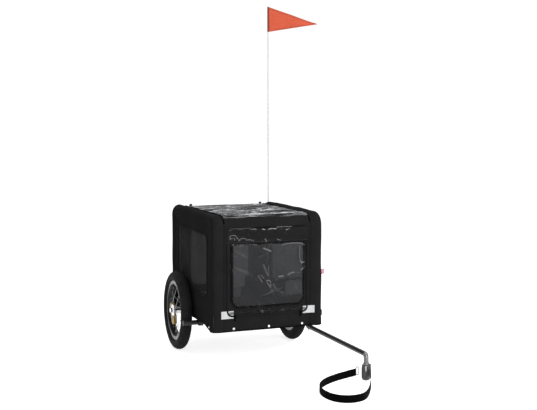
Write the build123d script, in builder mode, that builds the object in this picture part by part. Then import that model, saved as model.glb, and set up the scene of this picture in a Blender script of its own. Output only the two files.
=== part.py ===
"""Dog bike trailer: a fabric cabin on a tubular steel base, two spoked wheels,
an offset drawbar that ends in a swivelling hitch coupler, and a safety strap.

Millimetres. +Z is up and the trailer faces -Y, so its own left side is at +X.
The origin is the centre of the hitch socket's mouth, on the ground: the trailer
stands on its two tyres and on the coupler.
"""

import math
import os

from build123d import *

os.makedirs("parts", exist_ok=True)

# ---------------------------------------------------------------- driving dimensions
# Where the trailer lies from the hitch
drawbar_offset = 25.5     # cabin's side to the drawbar's centreline
tow_reach = 335.0         # hitch to the cabin's front face
arm_drop = 63.0           # axles down to the drawbar's centreline

# Cabin
cabin_width = 415.0
cabin_length = 538.0
cabin_height = 412.5      # from the skirt's lower edge to the roof
skirt_drop = 21.5         # axles down to the front and rear skirts
wall = 3.0                # sewn fabric wall
edge_radius = 40.0        # round edge between the roof and the end walls
soft_gap = 0.3            # between fabric and what carries it
hem_rise = 22.0           # the side walls end this much higher in the middle
hem_run = 215.0           # length over which the side hem rises

# Openings in the walls
door_width = 310.0
door_height = 316.0
door_sill = 53.5          # skirt edge to the door's lower edge
door_corner = 20.0
door_seam = 0.6           # zip seam round the door
door_window_width = 272.0
door_window_height = 224.0
door_window_sill = 33.5   # door's lower edge to the window in it
window_corner = 20.0
side_window_height = 218.0
side_window_front = 75.0  # front face to the side window
side_window_rear = 71.0   # rear face to the side window
side_window_sill = 121.5  # skirt edge to the side window
roof_window_width = 330.0
roof_window_margin = 5.0  # roof cloth left in front of and behind the window
sheet = 1.0               # mesh and clear film
rain_cover_width = 292.0
rain_cover_height = 304.0
rain_cover_drop = 4.0     # door's top edge to the rain cover's

# Tubes
tube_radius = 9.0         # base frame, beam and drawbar
hoop_radius = 7.0         # cabin hoops and roof bars
brace_radius = 5.0
frame_bend = 14.0         # base frame's corner, at the centreline
cross_member_count = 2
brace_foot_setback = 270.0
brace_middle_setback = 360.0
brace_middle_rise = 180.0     # above the base frame's centreline
brace_head_rise = 318.0
connector = 20.0          # corner connector, square
connector_height = 36.0

# Wheels and axles
wheel_radius = 150.0
tyre_width = 43.0
wheel_offset = 27.0       # cabin's side to the wheel's middle plane
axle_setback = 374.0      # front face to the axle
rim_radius = 113.0
rim_width = 27.0
rim_depth = 13.0
rim_wall = 2.5
hub_radius = 13.0
flange_radius = 22.0
flange_thickness = 4.0
hub_length = 44.0
axle_radius = 5.0
running_gap = 0.06        # radial, on every shaft that turns in a bore
spoke_radius = 0.9
spokes_a_flange = 10
spoke_lead = 42.0         # degrees a spoke runs ahead of its flange hole
axle_cap_radius = 9.0
axle_cap_thickness = 6.5
knuckle_length = 56.0
knuckle_height = 24.0
knuckle_gap = 2.0         # knuckle to the hub's end
reflector_length = 86.0
reflector_height = 36.0
reflector_thickness = 12.0
reflector_offset = 8.0    # wheel's plane out to the reflector's middle
reflector_reach = 37.0    # axle to the reflector's middle
reflector_turn = -32.0    # degrees from straight behind the axle

# Beam and drawbar
tyre_to_beam = 24.0       # tyre's front to the beam's centreline
beam_overhang = 50.5      # beam's end, outside the cabin's side
beam_cap = 3.0
clamp_inset = 1.0         # clamps are narrower than the rails on each side
clamp_length = 30.0
bracket_width = 28.0
saddle_reach = 14.0       # beam's middle to the saddle's front face
web_setback = 15.0        # beam's middle to the saddle's rear web
plate = 4.0
pivot_lead = 27.0         # beam's middle forward to the drawbar's pivot
pivot_margin = 14.0       # pivot to the bracket's front edge
arm_play = 1.0            # drawbar to the bracket's plate
arm_tail = 9.0            # drawbar's end, behind its pivot
bolt_radius = 4.0
bolt_head_radius = 6.5
bolt_head = 2.0
knob_radius = 9.0
knob_height = 14.0
knob_lobes = 5
lobe_inset = 1.5          # knob's edge to the lobes' middles
lobe_radius = 3.5
bend_radius = 11.0        # drawbar's bend, at the centreline

# Coupler
coupler_radius = 16.0
coupler_height = 54.0
toe_width = 9.0           # rounding round its foot
toe_height = 13.0
shoulder_width = 5.0      # the top is drawn in by this much
shoulder_height = 16.0
coupler_seat = 29.5       # ground to the end of the drawbar's bore
socket_radius = 6.0
socket_depth = 24.0
slot_width = 11.5         # slot that shows the drawbar's end
slot_low = 30.5
slot_high = 50.0
coupler_turn = 23.5       # degrees that the slot is turned from the front to the right
collar_radius = 11.5
collar_thickness = 2.5
collar_lift = 1.0         # coupler's top to the collar
lug_x, lug_y = 9.0, -17.4
lug_radius = 3.0
lug_drop = 13.0           # collar's underside to the lug's lower end

# Floor
floor_board = 3.0
mat_thickness = 12.0
mat_inset = 9.0

# Flag
pole_radius = 2.5
pole_top = 1357.0
flag_length = 222.0
flag_height = 104.0
flag_droop = 12.0
holder_radius = 6.0
holder_length = 110.0
holder_foot = 4.0
clip_length = 22.0        # pole's upper clip
pole_inset = 4.0          # pole's middle to the cabin's side

# Safety strap
strap_width = 25.0
strap_thickness = 2.4
ring_wire = 3.0
ring_depth = 14.0

# ---------------------------------------------------------------- places worked out
mid_x = -(cabin_width / 2 + drawbar_offset)
skirt_clearance = wheel_radius - skirt_drop
arm_height = wheel_radius - arm_drop
track = cabin_width + 2 * wheel_offset
beam_length = cabin_width + 2 * beam_overhang
front_y = tow_reach
rear_y = front_y + cabin_length
mid_y = (front_y + rear_y) / 2
axle_y = front_y + axle_setback
roof_z = skirt_clearance + cabin_height
half_width = cabin_width / 2
inner_half = half_width - wall
hem_z = skirt_clearance + hem_rise

rail_z = wheel_radius
rail_half = inner_half - soft_gap - tube_radius
rail_front = front_y + wall + soft_gap + tube_radius
rail_rear = rear_y - wall - soft_gap - tube_radius
rail_top = rail_z + tube_radius
hoop_half = inner_half - soft_gap - hoop_radius
hoop_front = front_y + wall + soft_gap + hoop_radius
hoop_rear = rear_y - wall - soft_gap - hoop_radius
hoop_top = roof_z - wall - soft_gap - hoop_radius
hoop_bend = edge_radius - wall - soft_gap - hoop_radius

floor_z = rail_top + soft_gap
mat_z = floor_z + floor_board + soft_gap
beam_y = axle_y - wheel_radius - tyre_to_beam
beam_z = rail_z - 2 * tube_radius - soft_gap
door_bottom = skirt_clearance + door_sill
door_top = door_bottom + door_height
sides = (("left", 1), ("right", -1))
ends = (("front", front_y, 1), ("rear", rear_y, -1))


def end_plane(y, inward):
    """The plane of an end wall's outer face, its normal pointing into the cabin."""
    return Plane(origin=(mid_x, y, 0), x_dir=(-inward, 0, 0), z_dir=(0, inward, 0))


def side_plane(x):
    """A plane across the trailer at x, drawn in (y, z), its normal pointing to +X."""
    return Plane(origin=(x, 0, 0), x_dir=(0, 1, 0), z_dir=(1, 0, 0))


# ---------------------------------------------------------------- base frame
with BuildPart() as base_frame:
    with BuildLine():
        ring = FilletPolyline(
            (mid_x + rail_half, rail_front, rail_z),
            (mid_x + rail_half, rail_rear, rail_z),
            (mid_x - rail_half, rail_rear, rail_z),
            (mid_x - rail_half, rail_front, rail_z),
            radius=frame_bend,
            close=True,
        )
    with BuildSketch(Plane(origin=ring @ 0, z_dir=ring % 0)):
        Circle(tube_radius)
    sweep()
    member_pitch = (rail_rear - rail_front) / (cross_member_count + 1)
    for number in range(cross_member_count):
        member_y = rail_front + member_pitch * (number + 1)
        with BuildSketch(Plane(origin=(mid_x, member_y, rail_z), z_dir=(1, 0, 0))):
            Circle(tube_radius)
        extrude(amount=rail_half, both=True)
    # each axle runs into its side rail
    with BuildSketch(Plane(origin=(mid_x, axle_y, rail_z), z_dir=(1, 0, 0))):
        Circle(axle_radius)
    extrude(amount=half_width, both=True, mode=Mode.SUBTRACT)
base_frame.part.label = "base_frame"
export_step(base_frame.part, "parts/base_frame.step")

# ---------------------------------------------------------------- cabin hoops
hoops = {}
for side, sign in sides:
    hoop_x = mid_x + sign * hoop_half
    with BuildPart() as hoop:
        with BuildLine():
            bow = FilletPolyline(
                (hoop_x, hoop_front, rail_top),
                (hoop_x, hoop_front, hoop_top),
                (hoop_x, hoop_rear, hoop_top),
                (hoop_x, hoop_rear, rail_top),
                radius=hoop_bend,
            )
        with BuildSketch(Plane(origin=bow @ 0, z_dir=bow % 0)):
            Circle(hoop_radius)
        sweep()
    hoop.part.label = f"side_hoop_{side}"
    export_step(hoop.part, f"parts/side_hoop_{side}.step")
    hoops[side] = hoop.part

with BuildPart() as roof_bars:
    for bar_y in (hoop_front + hoop_bend, hoop_rear - hoop_bend):
        with BuildSketch(Plane(origin=(mid_x, bar_y, hoop_top), z_dir=(1, 0, 0))):
            Circle(hoop_radius)
        extrude(amount=hoop_half - hoop_radius, both=True)
roof_bars.part.label = "roof_bars"
export_step(roof_bars.part, "parts/roof_bars.step")

# a bowed brace on each side, from the rail in front of the axle to the rear upright
brace_foot = (front_y + brace_foot_setback, rail_top)
brace_middle = (front_y + brace_middle_setback, rail_z + brace_middle_rise)
brace_head = (hoop_rear - hoop_radius - brace_radius, rail_z + brace_head_rise)
for side, sign in sides:
    brace_x = mid_x + sign * hoop_half
    with BuildPart() as brace:
        with BuildLine(side_plane(brace_x)):
            bow = ThreePointArc(brace_foot, brace_middle, brace_head)
        with BuildSketch(Plane(origin=bow @ 0, z_dir=bow % 0)):
            Circle(brace_radius)
        sweep()
        # the foot is cut level, to stand on the rail
        foot_size = 8 * brace_radius
        with Locations((brace_x, brace_foot[0], rail_top)):
            Box(foot_size, foot_size, foot_size,
                align=(Align.CENTER, Align.CENTER, Align.MAX), mode=Mode.SUBTRACT)
    brace.part.label = f"side_brace_{side}"
    export_step(brace.part, f"parts/side_brace_{side}.step")

# ---------------------------------------------------------------- corner connectors
with BuildPart() as corner_connectors:
    corner_x = inner_half - soft_gap - connector / 2
    corner_y = cabin_length / 2 - wall - soft_gap - connector / 2
    with Locations((mid_x, mid_y, rail_z)):
        with GridLocations(2 * corner_x, 2 * corner_y, 2, 2):
            Box(connector, connector, connector_height,
                align=(Align.CENTER, Align.CENTER, Align.MIN))
    add(base_frame.part, mode=Mode.SUBTRACT)
    for side, sign in sides:
        add(hoops[side], mode=Mode.SUBTRACT)
corner_connectors.part.label = "corner_connectors"
export_step(corner_connectors.part, "parts/corner_connectors.step")

# ---------------------------------------------------------------- floor
floor_clear = 1.0
floor_half = hoop_half - hoop_radius - floor_clear
floor_length = hoop_rear - hoop_front - 2 * (hoop_radius + floor_clear)
with BuildPart() as floor_panel:
    with BuildSketch(Plane.XY.offset(floor_z)):
        with Locations((mid_x, mid_y)):
            RectangleRounded(2 * floor_half, floor_length, connector)
    extrude(amount=floor_board)
floor_panel.part.label = "floor_panel"
export_step(floor_panel.part, "parts/floor_panel.step")

with BuildPart() as floor_mat:
    with BuildSketch(Plane.XY.offset(mat_z)):
        with Locations((mid_x, mid_y)):
            RectangleRounded(2 * (floor_half - mat_inset), floor_length - 2 * mat_inset, connector)
    extrude(amount=mat_thickness)
    fillet(floor_mat.edges().group_by(Axis.Z)[-1], mat_thickness / 3)
floor_mat.part.label = "floor_mat"
export_step(floor_mat.part, "parts/floor_mat.step")

# ---------------------------------------------------------------- end walls and doors
for end, wall_y, inward in ends:
    arc_y = wall_y + inward * edge_radius
    arc_z = roof_z - edge_radius
    start = 180 if inward > 0 else 0
    with BuildPart() as panel:
        with BuildSketch(side_plane(mid_x)):
            with BuildLine():
                Line((wall_y, skirt_clearance), (wall_y, arc_z))
                CenterArc((arc_y, arc_z), edge_radius, start, -inward * 90)
                Line((arc_y, roof_z), (arc_y, roof_z - wall))
                CenterArc((arc_y, arc_z), edge_radius - wall, 90, inward * 90)
                Line((wall_y + inward * wall, arc_z), (wall_y + inward * wall, skirt_clearance))
                Line((wall_y + inward * wall, skirt_clearance), (wall_y, skirt_clearance))
            make_face()
        extrude(amount=inner_half, both=True)
        with BuildSketch(end_plane(wall_y, inward)):
            with Locations((0, (door_bottom + door_top) / 2)):
                RectangleRounded(door_width, door_height, door_corner)
        extrude(amount=wall, mode=Mode.SUBTRACT)
    panel.part.label = f"{end}_panel"
    export_step(panel.part, f"parts/{end}_panel.step")

    door_window_z = door_bottom + door_window_sill + door_window_height / 2
    with BuildPart() as door:
        with BuildSketch(end_plane(wall_y, inward)):
            with Locations((0, (door_bottom + door_top) / 2)):
                RectangleRounded(door_width - 2 * door_seam, door_height - 2 * door_seam,
                                 door_corner - door_seam)
            with Locations((0, door_window_z)):
                RectangleRounded(door_window_width, door_window_height, window_corner,
                                 mode=Mode.SUBTRACT)
        extrude(amount=wall)
    door.part.label = f"{end}_door"
    export_step(door.part, f"parts/{end}_door.step")

    with BuildPart() as window:
        with BuildSketch(end_plane(wall_y, inward).offset((wall - sheet) / 2)):
            with Locations((0, door_window_z)):
                RectangleRounded(door_window_width - 2 * soft_gap, door_window_height - 2 * soft_gap,
                                 window_corner - soft_gap)
        extrude(amount=sheet)
    window.part.label = f"{end}_window"
    export_step(window.part, f"parts/{end}_window.step")

# clear rain cover, sewn along its top edge in front of the front door
with BuildPart() as rain_cover:
    cover_top = door_top - rain_cover_drop
    with BuildSketch(end_plane(front_y, 1).offset(-soft_gap)):
        with Locations((0, cover_top - rain_cover_height / 2)):
            RectangleRounded(rain_cover_width, rain_cover_height, door_corner / 2)
    extrude(amount=-sheet)
rain_cover.part.label = "rain_cover"
export_step(rain_cover.part, "parts/rain_cover.step")

# ---------------------------------------------------------------- side walls and roof
side_window_length = cabin_length - side_window_front - side_window_rear
side_window_y = front_y + side_window_front + side_window_length / 2
side_window_z = skirt_clearance + side_window_sill + side_window_height / 2
knuckle_clear = 1.5
for side, sign in sides:
    wall_x = mid_x + sign * inner_half
    with BuildPart() as panel:
        with BuildSketch(side_plane(wall_x)):
            with BuildLine():
                Line((front_y, skirt_clearance), (front_y, roof_z - edge_radius))
                CenterArc((front_y + edge_radius, roof_z - edge_radius), edge_radius, 180, -90)
                Line((front_y + edge_radius, roof_z), (rear_y - edge_radius, roof_z))
                CenterArc((rear_y - edge_radius, roof_z - edge_radius), edge_radius, 90, -90)
                Polyline(
                    (rear_y, roof_z - edge_radius),
                    (rear_y, skirt_clearance),
                    (rear_y - hem_run, hem_z),
                    (front_y + hem_run, hem_z),
                    (front_y, skirt_clearance),
                )
            make_face()
            with Locations((side_window_y, side_window_z)):
                RectangleRounded(side_window_length, side_window_height, window_corner,
                                 mode=Mode.SUBTRACT)
            # the hem steps up over the axle's knuckle
            with Locations((axle_y, rail_z)):
                Rectangle(knuckle_length + 2 * knuckle_clear, knuckle_height + 2 * knuckle_clear,
                          mode=Mode.SUBTRACT)
            with Locations((axle_y, (skirt_clearance + rail_z) / 2)):
                Rectangle(knuckle_length + 2 * knuckle_clear, rail_z - skirt_clearance,
                          mode=Mode.SUBTRACT)
        extrude(amount=sign * wall)
    panel.part.label = f"side_panel_{side}"
    export_step(panel.part, f"parts/side_panel_{side}.step")

    with BuildPart() as mesh:
        with BuildSketch(side_plane(wall_x + sign * (wall - sheet) / 2)):
            with Locations((side_window_y, side_window_z)):
                RectangleRounded(side_window_length - 2 * soft_gap, side_window_height - 2 * soft_gap,
                                 window_corner - soft_gap)
        extrude(amount=sign * sheet)
    mesh.part.label = f"side_mesh_{side}"
    export_step(mesh.part, f"parts/side_mesh_{side}.step")

roof_length = cabin_length - 2 * edge_radius
roof_window_length = roof_length - 2 * roof_window_margin
with BuildPart() as roof_panel:
    with BuildSketch(Plane.XY.offset(roof_z - wall)):
        with Locations((mid_x, mid_y)):
            Rectangle(2 * inner_half, roof_length)
            RectangleRounded(roof_window_width, roof_window_length, window_corner / 2,
                             mode=Mode.SUBTRACT)
    extrude(amount=wall)
roof_panel.part.label = "roof_panel"
export_step(roof_panel.part, "parts/roof_panel.step")

with BuildPart() as roof_window:
    with BuildSketch(Plane.XY.offset(roof_z - (wall + sheet) / 2)):
        with Locations((mid_x, mid_y)):
            RectangleRounded(roof_window_width - 2 * soft_gap, roof_window_length - 2 * soft_gap,
                             window_corner / 2 - soft_gap)
    extrude(amount=sheet)
roof_window.part.label = "roof_window"
export_step(roof_window.part, "parts/roof_window.step")

# ---------------------------------------------------------------- axles and wheels
hub_inner = track / 2 - hub_length / 2
hub_outer = track / 2 + hub_length / 2
cap_start = hub_outer + 1
knuckle_inner = rail_half - tube_radius / 2
knuckle_outer = hub_inner - knuckle_gap
for side, sign in sides:
    with BuildPart() as knuckle:
        with Locations((mid_x + sign * (knuckle_inner + knuckle_outer) / 2, axle_y, rail_z)):
            Box(knuckle_outer - knuckle_inner, knuckle_length, knuckle_height)
        with BuildSketch(Plane(origin=(mid_x, axle_y, rail_z), z_dir=(sign, 0, 0))):
            Circle(axle_radius)
        extrude(amount=track, mode=Mode.SUBTRACT)
        add(base_frame.part, mode=Mode.SUBTRACT)
    knuckle.part.label = f"wheel_knuckle_{side}"
    export_step(knuckle.part, f"parts/wheel_knuckle_{side}.step")

    with BuildPart() as axle:
        with BuildSketch(Plane(origin=(mid_x + sign * knuckle_inner, axle_y, rail_z), z_dir=(sign, 0, 0))):
            Circle(axle_radius)
        extrude(amount=cap_start - knuckle_inner)
        with BuildSketch(Plane(origin=(mid_x + sign * cap_start, axle_y, rail_z), z_dir=(sign, 0, 0))):
            Circle(axle_cap_radius)
        extrude(amount=axle_cap_thickness)
        fillet(axle.edges().group_by(Axis.X)[-1 if sign > 0 else 0], axle_cap_thickness / 4)
    axle.part.label = f"axle_{side}"
    export_step(axle.part, f"parts/axle_{side}.step")

    wheel_x = mid_x + sign * track / 2
    wheel_axis = Axis((wheel_x, axle_y, rail_z), (1, 0, 0))
    # wheel sections are drawn in (x, radius), above the axle
    section_plane = Plane(origin=(wheel_x, axle_y, rail_z), x_dir=(1, 0, 0), z_dir=(0, -1, 0))
    bead_half = rim_width / 2 - rim_wall
    rim_floor = rim_radius - rim_depth + 2 * rim_wall
    with BuildPart() as rim:
        with BuildSketch(section_plane):
            with Locations((0, rim_radius - rim_depth)):
                Rectangle(rim_width, rim_depth, align=(Align.CENTER, Align.MIN))
            with Locations((0, rim_floor)):
                Rectangle(2 * bead_half, rim_depth, align=(Align.CENTER, Align.MIN), mode=Mode.SUBTRACT)
        revolve(axis=wheel_axis)
    rim.part.label = f"rim_{side}"
    export_step(rim.part, f"parts/rim_{side}.step")

    with BuildPart() as tyre:
        with BuildSketch(section_plane):
            with Locations((0, wheel_radius - tyre_width / 2)):
                Circle(tyre_width / 2)
            # the carcass stops above the rim's flanges, and only its beads go down between them
            with Locations((0, rim_radius + 1)):
                Rectangle(2 * tyre_width, 2 * tyre_width, align=(Align.CENTER, Align.MAX), mode=Mode.SUBTRACT)
            with Locations((0, rim_floor)):
                Rectangle(2 * bead_half, rim_radius + 3 - rim_floor, align=(Align.CENTER, Align.MIN))
        revolve(axis=wheel_axis)
    tyre.part.label = f"tyre_{side}"
    export_step(tyre.part, f"parts/tyre_{side}.step")

    flange_x = hub_length / 2 - flange_thickness - 3
    with BuildPart() as hub:
        with BuildSketch(section_plane):
            Rectangle(hub_length, hub_radius - 2, align=(Align.CENTER, Align.MIN))
            Rectangle(2 * flange_x, hub_radius, align=(Align.CENTER, Align.MIN))
            for flange in (-1, 1):
                with Locations((flange * (flange_x + flange_thickness / 2), 0)):
                    Rectangle(flange_thickness, flange_radius, align=(Align.CENTER, Align.MIN))
            Rectangle(hub_length + 1, axle_radius + running_gap, align=(Align.CENTER, Align.MIN),
                      mode=Mode.SUBTRACT)
        revolve(axis=wheel_axis)
    hub.part.label = f"hub_{side}"
    export_step(hub.part, f"parts/hub_{side}.step")

    # straight spokes, half of them leading and half trailing on each flange
    hub_end = flange_radius + spoke_radius + 0.1
    rim_end = rim_radius - rim_depth - 0.35
    spoke_pitch = 360 / spokes_a_flange
    with BuildPart() as spokes:
        for flange in (-1, 1):
            for number in range(spokes_a_flange):
                lead = 1 if number % 2 else -1
                start_turn = math.radians(spoke_pitch * (number + (sign * flange + 1) / 4))
                end_turn = start_turn + lead * math.radians(spoke_lead)
                start_x = flange * (flange_x + flange_thickness / 2 + lead * flange_thickness / 2)
                end_x = flange * spoke_radius * 2
                foot = Vector(wheel_x + start_x,
                              axle_y + hub_end * math.cos(start_turn),
                              rail_z + hub_end * math.sin(start_turn))
                head = Vector(wheel_x + end_x,
                              axle_y + rim_end * math.cos(end_turn),
                              rail_z + rim_end * math.sin(end_turn))
                with BuildSketch(Plane(origin=foot, z_dir=head - foot)):
                    Circle(spoke_radius)
                extrude(amount=(head - foot).length)
    spokes.part.label = f"spokes_{side}"
    export_step(spokes.part, f"parts/spokes_{side}.step")

    # reflector on the outer spokes, behind and below the hub, grooved where they pass
    reflector_angle = math.radians(reflector_turn)
    with BuildPart() as reflector:
        with BuildSketch(side_plane(wheel_x + sign * reflector_offset)):
            with Locations((axle_y + reflector_reach * math.cos(reflector_angle),
                            rail_z + reflector_reach * math.sin(reflector_angle))):
                with Locations(Location((0, 0), reflector_turn + 90)):
                    SlotOverall(reflector_length, reflector_height)
        extrude(amount=reflector_thickness / 2, both=True)
        add(spokes.part, mode=Mode.SUBTRACT)
    reflector.part.label = f"reflector_{side}"
    export_step(reflector.part, f"parts/reflector_{side}.step")

# ---------------------------------------------------------------- beam under the cabin
with BuildPart() as tow_beam:
    with BuildSketch(Plane(origin=(mid_x, beam_y, beam_z), z_dir=(1, 0, 0))):
        Circle(tube_radius)
    extrude(amount=beam_length / 2, both=True)
tow_beam.part.label = "tow_beam"
export_step(tow_beam.part, "parts/tow_beam.step")

with BuildPart() as beam_caps:
    for side, sign in sides:
        with BuildSketch(Plane(origin=(mid_x + sign * beam_length / 2, beam_y, beam_z), z_dir=(sign, 0, 0))):
            Circle(tube_radius + 1)
        extrude(amount=beam_cap)
beam_caps.part.label = "beam_caps"
export_step(beam_caps.part, "parts/beam_caps.step")

clamp_width = 2 * (tube_radius - clamp_inset)
with BuildPart() as beam_clamps:
    with Locations((mid_x, beam_y, beam_z - tube_radius - 2)):
        with GridLocations(2 * rail_half, 1, 2, 1):
            Box(clamp_width, clamp_length, rail_z - beam_z + tube_radius + 2,
                align=(Align.CENTER, Align.CENTER, Align.MIN))
    add(base_frame.part, mode=Mode.SUBTRACT)
    add(tow_beam.part, mode=Mode.SUBTRACT)
beam_clamps.part.label = "beam_clamps"
export_step(beam_clamps.part, "parts/beam_clamps.step")

# ---------------------------------------------------------------- drawbar and its bracket
bracket_plate = arm_height + tube_radius + arm_play
plate_top = bracket_plate + plate
bolt_foot = arm_height - tube_radius - arm_play
saddle_wall = 3.0
saddle_z = beam_z - tube_radius - saddle_wall
saddle_top = beam_z + tube_radius + saddle_wall
pivot_y = beam_y - pivot_lead
bracket_rear = beam_y + web_setback + plate
saddle_length = saddle_reach + web_setback + plate
web_height = saddle_z - bracket_plate
with BuildPart() as drawbar_bracket:
    # saddle round the beam, on two webs that stand on the plate above the drawbar
    for rear, low, length, height in (
        (bracket_rear, saddle_z, saddle_length, saddle_top - saddle_z),
        (bracket_rear, bracket_plate, bracket_rear - pivot_y + pivot_margin, plate),
        (bracket_rear, bracket_plate, plate, web_height),
        (beam_y - saddle_reach + plate, bracket_plate, plate, web_height),
    ):
        with Locations((0, rear, low)):
            Box(bracket_width, length, height, align=(Align.CENTER, Align.MAX, Align.MIN))
    add(tow_beam.part, mode=Mode.SUBTRACT)
    with BuildSketch(Plane.XY.offset(bracket_plate)):
        with Locations((0, pivot_y)):
            Circle(bolt_radius)
    extrude(amount=plate, mode=Mode.SUBTRACT)
drawbar_bracket.part.label = "drawbar_bracket"
export_step(drawbar_bracket.part, "parts/drawbar_bracket.step")

with BuildPart() as pivot_bolt:
    with BuildSketch(Plane.XY.offset(bolt_foot)):
        with Locations((0, pivot_y)):
            Circle(bolt_head_radius)
    extrude(amount=-bolt_head)
    with BuildSketch(Plane.XY.offset(bolt_foot)):
        with Locations((0, pivot_y)):
            Circle(bolt_radius)
    extrude(amount=plate_top + knob_height / 2 - bolt_foot)
pivot_bolt.part.label = "pivot_bolt"
export_step(pivot_bolt.part, "parts/pivot_bolt.step")

with BuildPart() as pivot_knob:
    with BuildSketch(Plane.XY.offset(plate_top)):
        with Locations((0, pivot_y)):
            Circle(knob_radius)
            with PolarLocations(knob_radius - lobe_inset, knob_lobes):
                Circle(lobe_radius)
            Circle(bolt_radius, mode=Mode.SUBTRACT)
    extrude(amount=knob_height)
    with BuildSketch(Plane.XY.offset(plate_top + knob_height / 2)):
        with Locations((0, pivot_y)):
            Circle(bolt_radius)
    extrude(amount=knob_height / 2)
pivot_knob.part.label = "pivot_knob"
export_step(pivot_knob.part, "parts/pivot_knob.step")

arm_end = pivot_y + arm_tail
with BuildPart() as drawbar:
    with BuildLine():
        arm_line = FilletPolyline(
            (0, arm_end, arm_height),
            (0, 0, arm_height),
            (0, 0, coupler_seat),
            radius=bend_radius,
        )
    with BuildSketch(Plane(origin=arm_line @ 0, z_dir=arm_line % 0)):
        Circle(tube_radius)
    sweep()
    with BuildSketch(Plane.XY.offset(bolt_foot)):
        with Locations((0, pivot_y)):
            Circle(bolt_radius + running_gap)
    extrude(amount=bracket_plate - bolt_foot, mode=Mode.SUBTRACT)
drawbar.part.label = "drawbar"
export_step(drawbar.part, "parts/drawbar.step")

# collar that keeps the coupler on and carries the strap
collar_z = coupler_height + collar_lift
with BuildPart() as strap_collar:
    with BuildSketch(Plane.XY.offset(collar_z)):
        Circle(collar_radius)
        with Locations((lug_x, lug_y)):
            Circle(lug_radius)
        with Locations((lug_x / 2, lug_y / 2)):
            with Locations(Location((0, 0), math.degrees(math.atan2(lug_y, lug_x)))):
                Rectangle(math.hypot(lug_x, lug_y), 2 * lug_radius)
        Circle(tube_radius, mode=Mode.SUBTRACT)
    extrude(amount=collar_thickness)
    with BuildSketch(Plane.XY.offset(collar_z)):
        with Locations((lug_x, lug_y)):
            Circle(lug_radius)
    extrude(amount=-lug_drop)
strap_collar.part.label = "strap_collar"
export_step(strap_collar.part, "parts/strap_collar.step")

# ---------------------------------------------------------------- coupler
bore_radius = tube_radius + running_gap
bore_end = coupler_seat - running_gap
slot_angle = math.radians(coupler_turn)
with BuildPart() as coupler:
    # a round capsule with the drawbar's bore above and the hitch socket below
    with BuildSketch(Plane.XZ):
        with BuildLine():
            EllipticalCenterArc((coupler_radius - toe_width, toe_height), toe_width, toe_height,
                                start_angle=-90, arc_size=90)
            Line((coupler_radius, toe_height), (coupler_radius, coupler_height - shoulder_height))
            EllipticalCenterArc((coupler_radius - shoulder_width, coupler_height - shoulder_height),
                                shoulder_width, shoulder_height, arc_size=90)
            Polyline(
                (coupler_radius - shoulder_width, coupler_height),
                (bore_radius, coupler_height),
                (bore_radius, bore_end),
                (0, bore_end),
                (0, socket_depth),
                (socket_radius, socket_depth),
                (socket_radius, 0),
                (coupler_radius - toe_width, 0),
            )
        make_face()
    revolve(axis=Axis.Z)
    slot_front = (-math.sin(slot_angle), -math.cos(slot_angle), 0)
    with BuildSketch(Plane(origin=(0, 0, (slot_low + slot_high) / 2), x_dir=(0, 0, 1), z_dir=slot_front)):
        SlotOverall(slot_high - slot_low, slot_width)
    extrude(amount=coupler_radius, mode=Mode.SUBTRACT)
coupler.part.label = "coupler"
export_step(coupler.part, "parts/coupler.step")

# ---------------------------------------------------------------- safety strap
# the flat strap stands on its edge; the points are the middle of its width
strap_low = strap_width / 2 + soft_gap
strap_route = [
    (lug_x, lug_y, collar_z - lug_drop - soft_gap - strap_width / 2),
    (-13.5, -66.5, 24),
    (-38, -115, 16.5),
    (-66, -163, strap_low),
    (-96, -208, strap_low),
    (-124, -233, strap_low),
    (-157, -241, strap_low),
    (-189, -231, strap_low),
    (-211, -205, strap_low),
    (-220, -166, strap_low),
    (-219, -120, strap_low),
    (-206, -76, strap_low),
    (-180, -36, strap_low),
    (-144, -3, strap_low),
    (-101, 24, strap_low),
    (-55, 45, strap_low),
    (-9, 64, strap_low),
]


def arc_radii(route, share=0.45):
    """The largest tangent arc at each inner point that its shorter run allows."""
    points = [Vector(*point) for point in route]
    radii = []
    for before, here, after in zip(points, points[1:], points[2:]):
        shorter = min((here - before).length, (after - here).length)
        turn = math.radians((here - before).get_angle(after - here))
        radii.append(share * shorter / math.tan(turn / 2))
    return radii


strap_radii = arc_radii(strap_route)
print("strap radii", [round(radius) for radius in strap_radii])
with BuildPart() as strap:
    with BuildLine():
        strap_line = FilletPolyline(*strap_route, radius=strap_radii)
    strap_start = Plane(origin=strap_line @ 0, x_dir=(0, 0, 1), z_dir=strap_line % 0)
    with BuildSketch(strap_start):
        Rectangle(strap_width, strap_thickness)
    sweep()
strap.part.label = "strap"
export_step(strap.part, "parts/strap.step")
strap_section = strap_width * strap_thickness
print("strap length", round(strap_line.length), "volume / section", round(strap.part.volume / strap_section))

# steel ring in the strap's end, standing on the ground
end_direction = Vector(*strap_route[-1]) - Vector(*strap_route[-2])
end_direction = Vector(end_direction.X, end_direction.Y, 0).normalized()
ring_height = strap_width + 2 * ring_wire
ring_centre = Vector(*strap_route[-1]) + end_direction * (ring_depth / 2 + soft_gap)
with BuildPart() as strap_ring:
    ring_plane = Plane(
        origin=(ring_centre.X, ring_centre.Y, ring_height / 2 + soft_gap),
        x_dir=end_direction,
        z_dir=end_direction.cross(Vector(0, 0, 1)),
    )
    with BuildSketch(ring_plane):
        RectangleRounded(ring_depth, ring_height, ring_wire + 1)
        RectangleRounded(ring_depth - 2 * ring_wire, ring_height - 2 * ring_wire, 1,
                         mode=Mode.SUBTRACT)
    extrude(amount=ring_wire / 2, both=True)
strap_ring.part.label = "strap_ring"
export_step(strap_ring.part, "parts/strap_ring.step")

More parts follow.
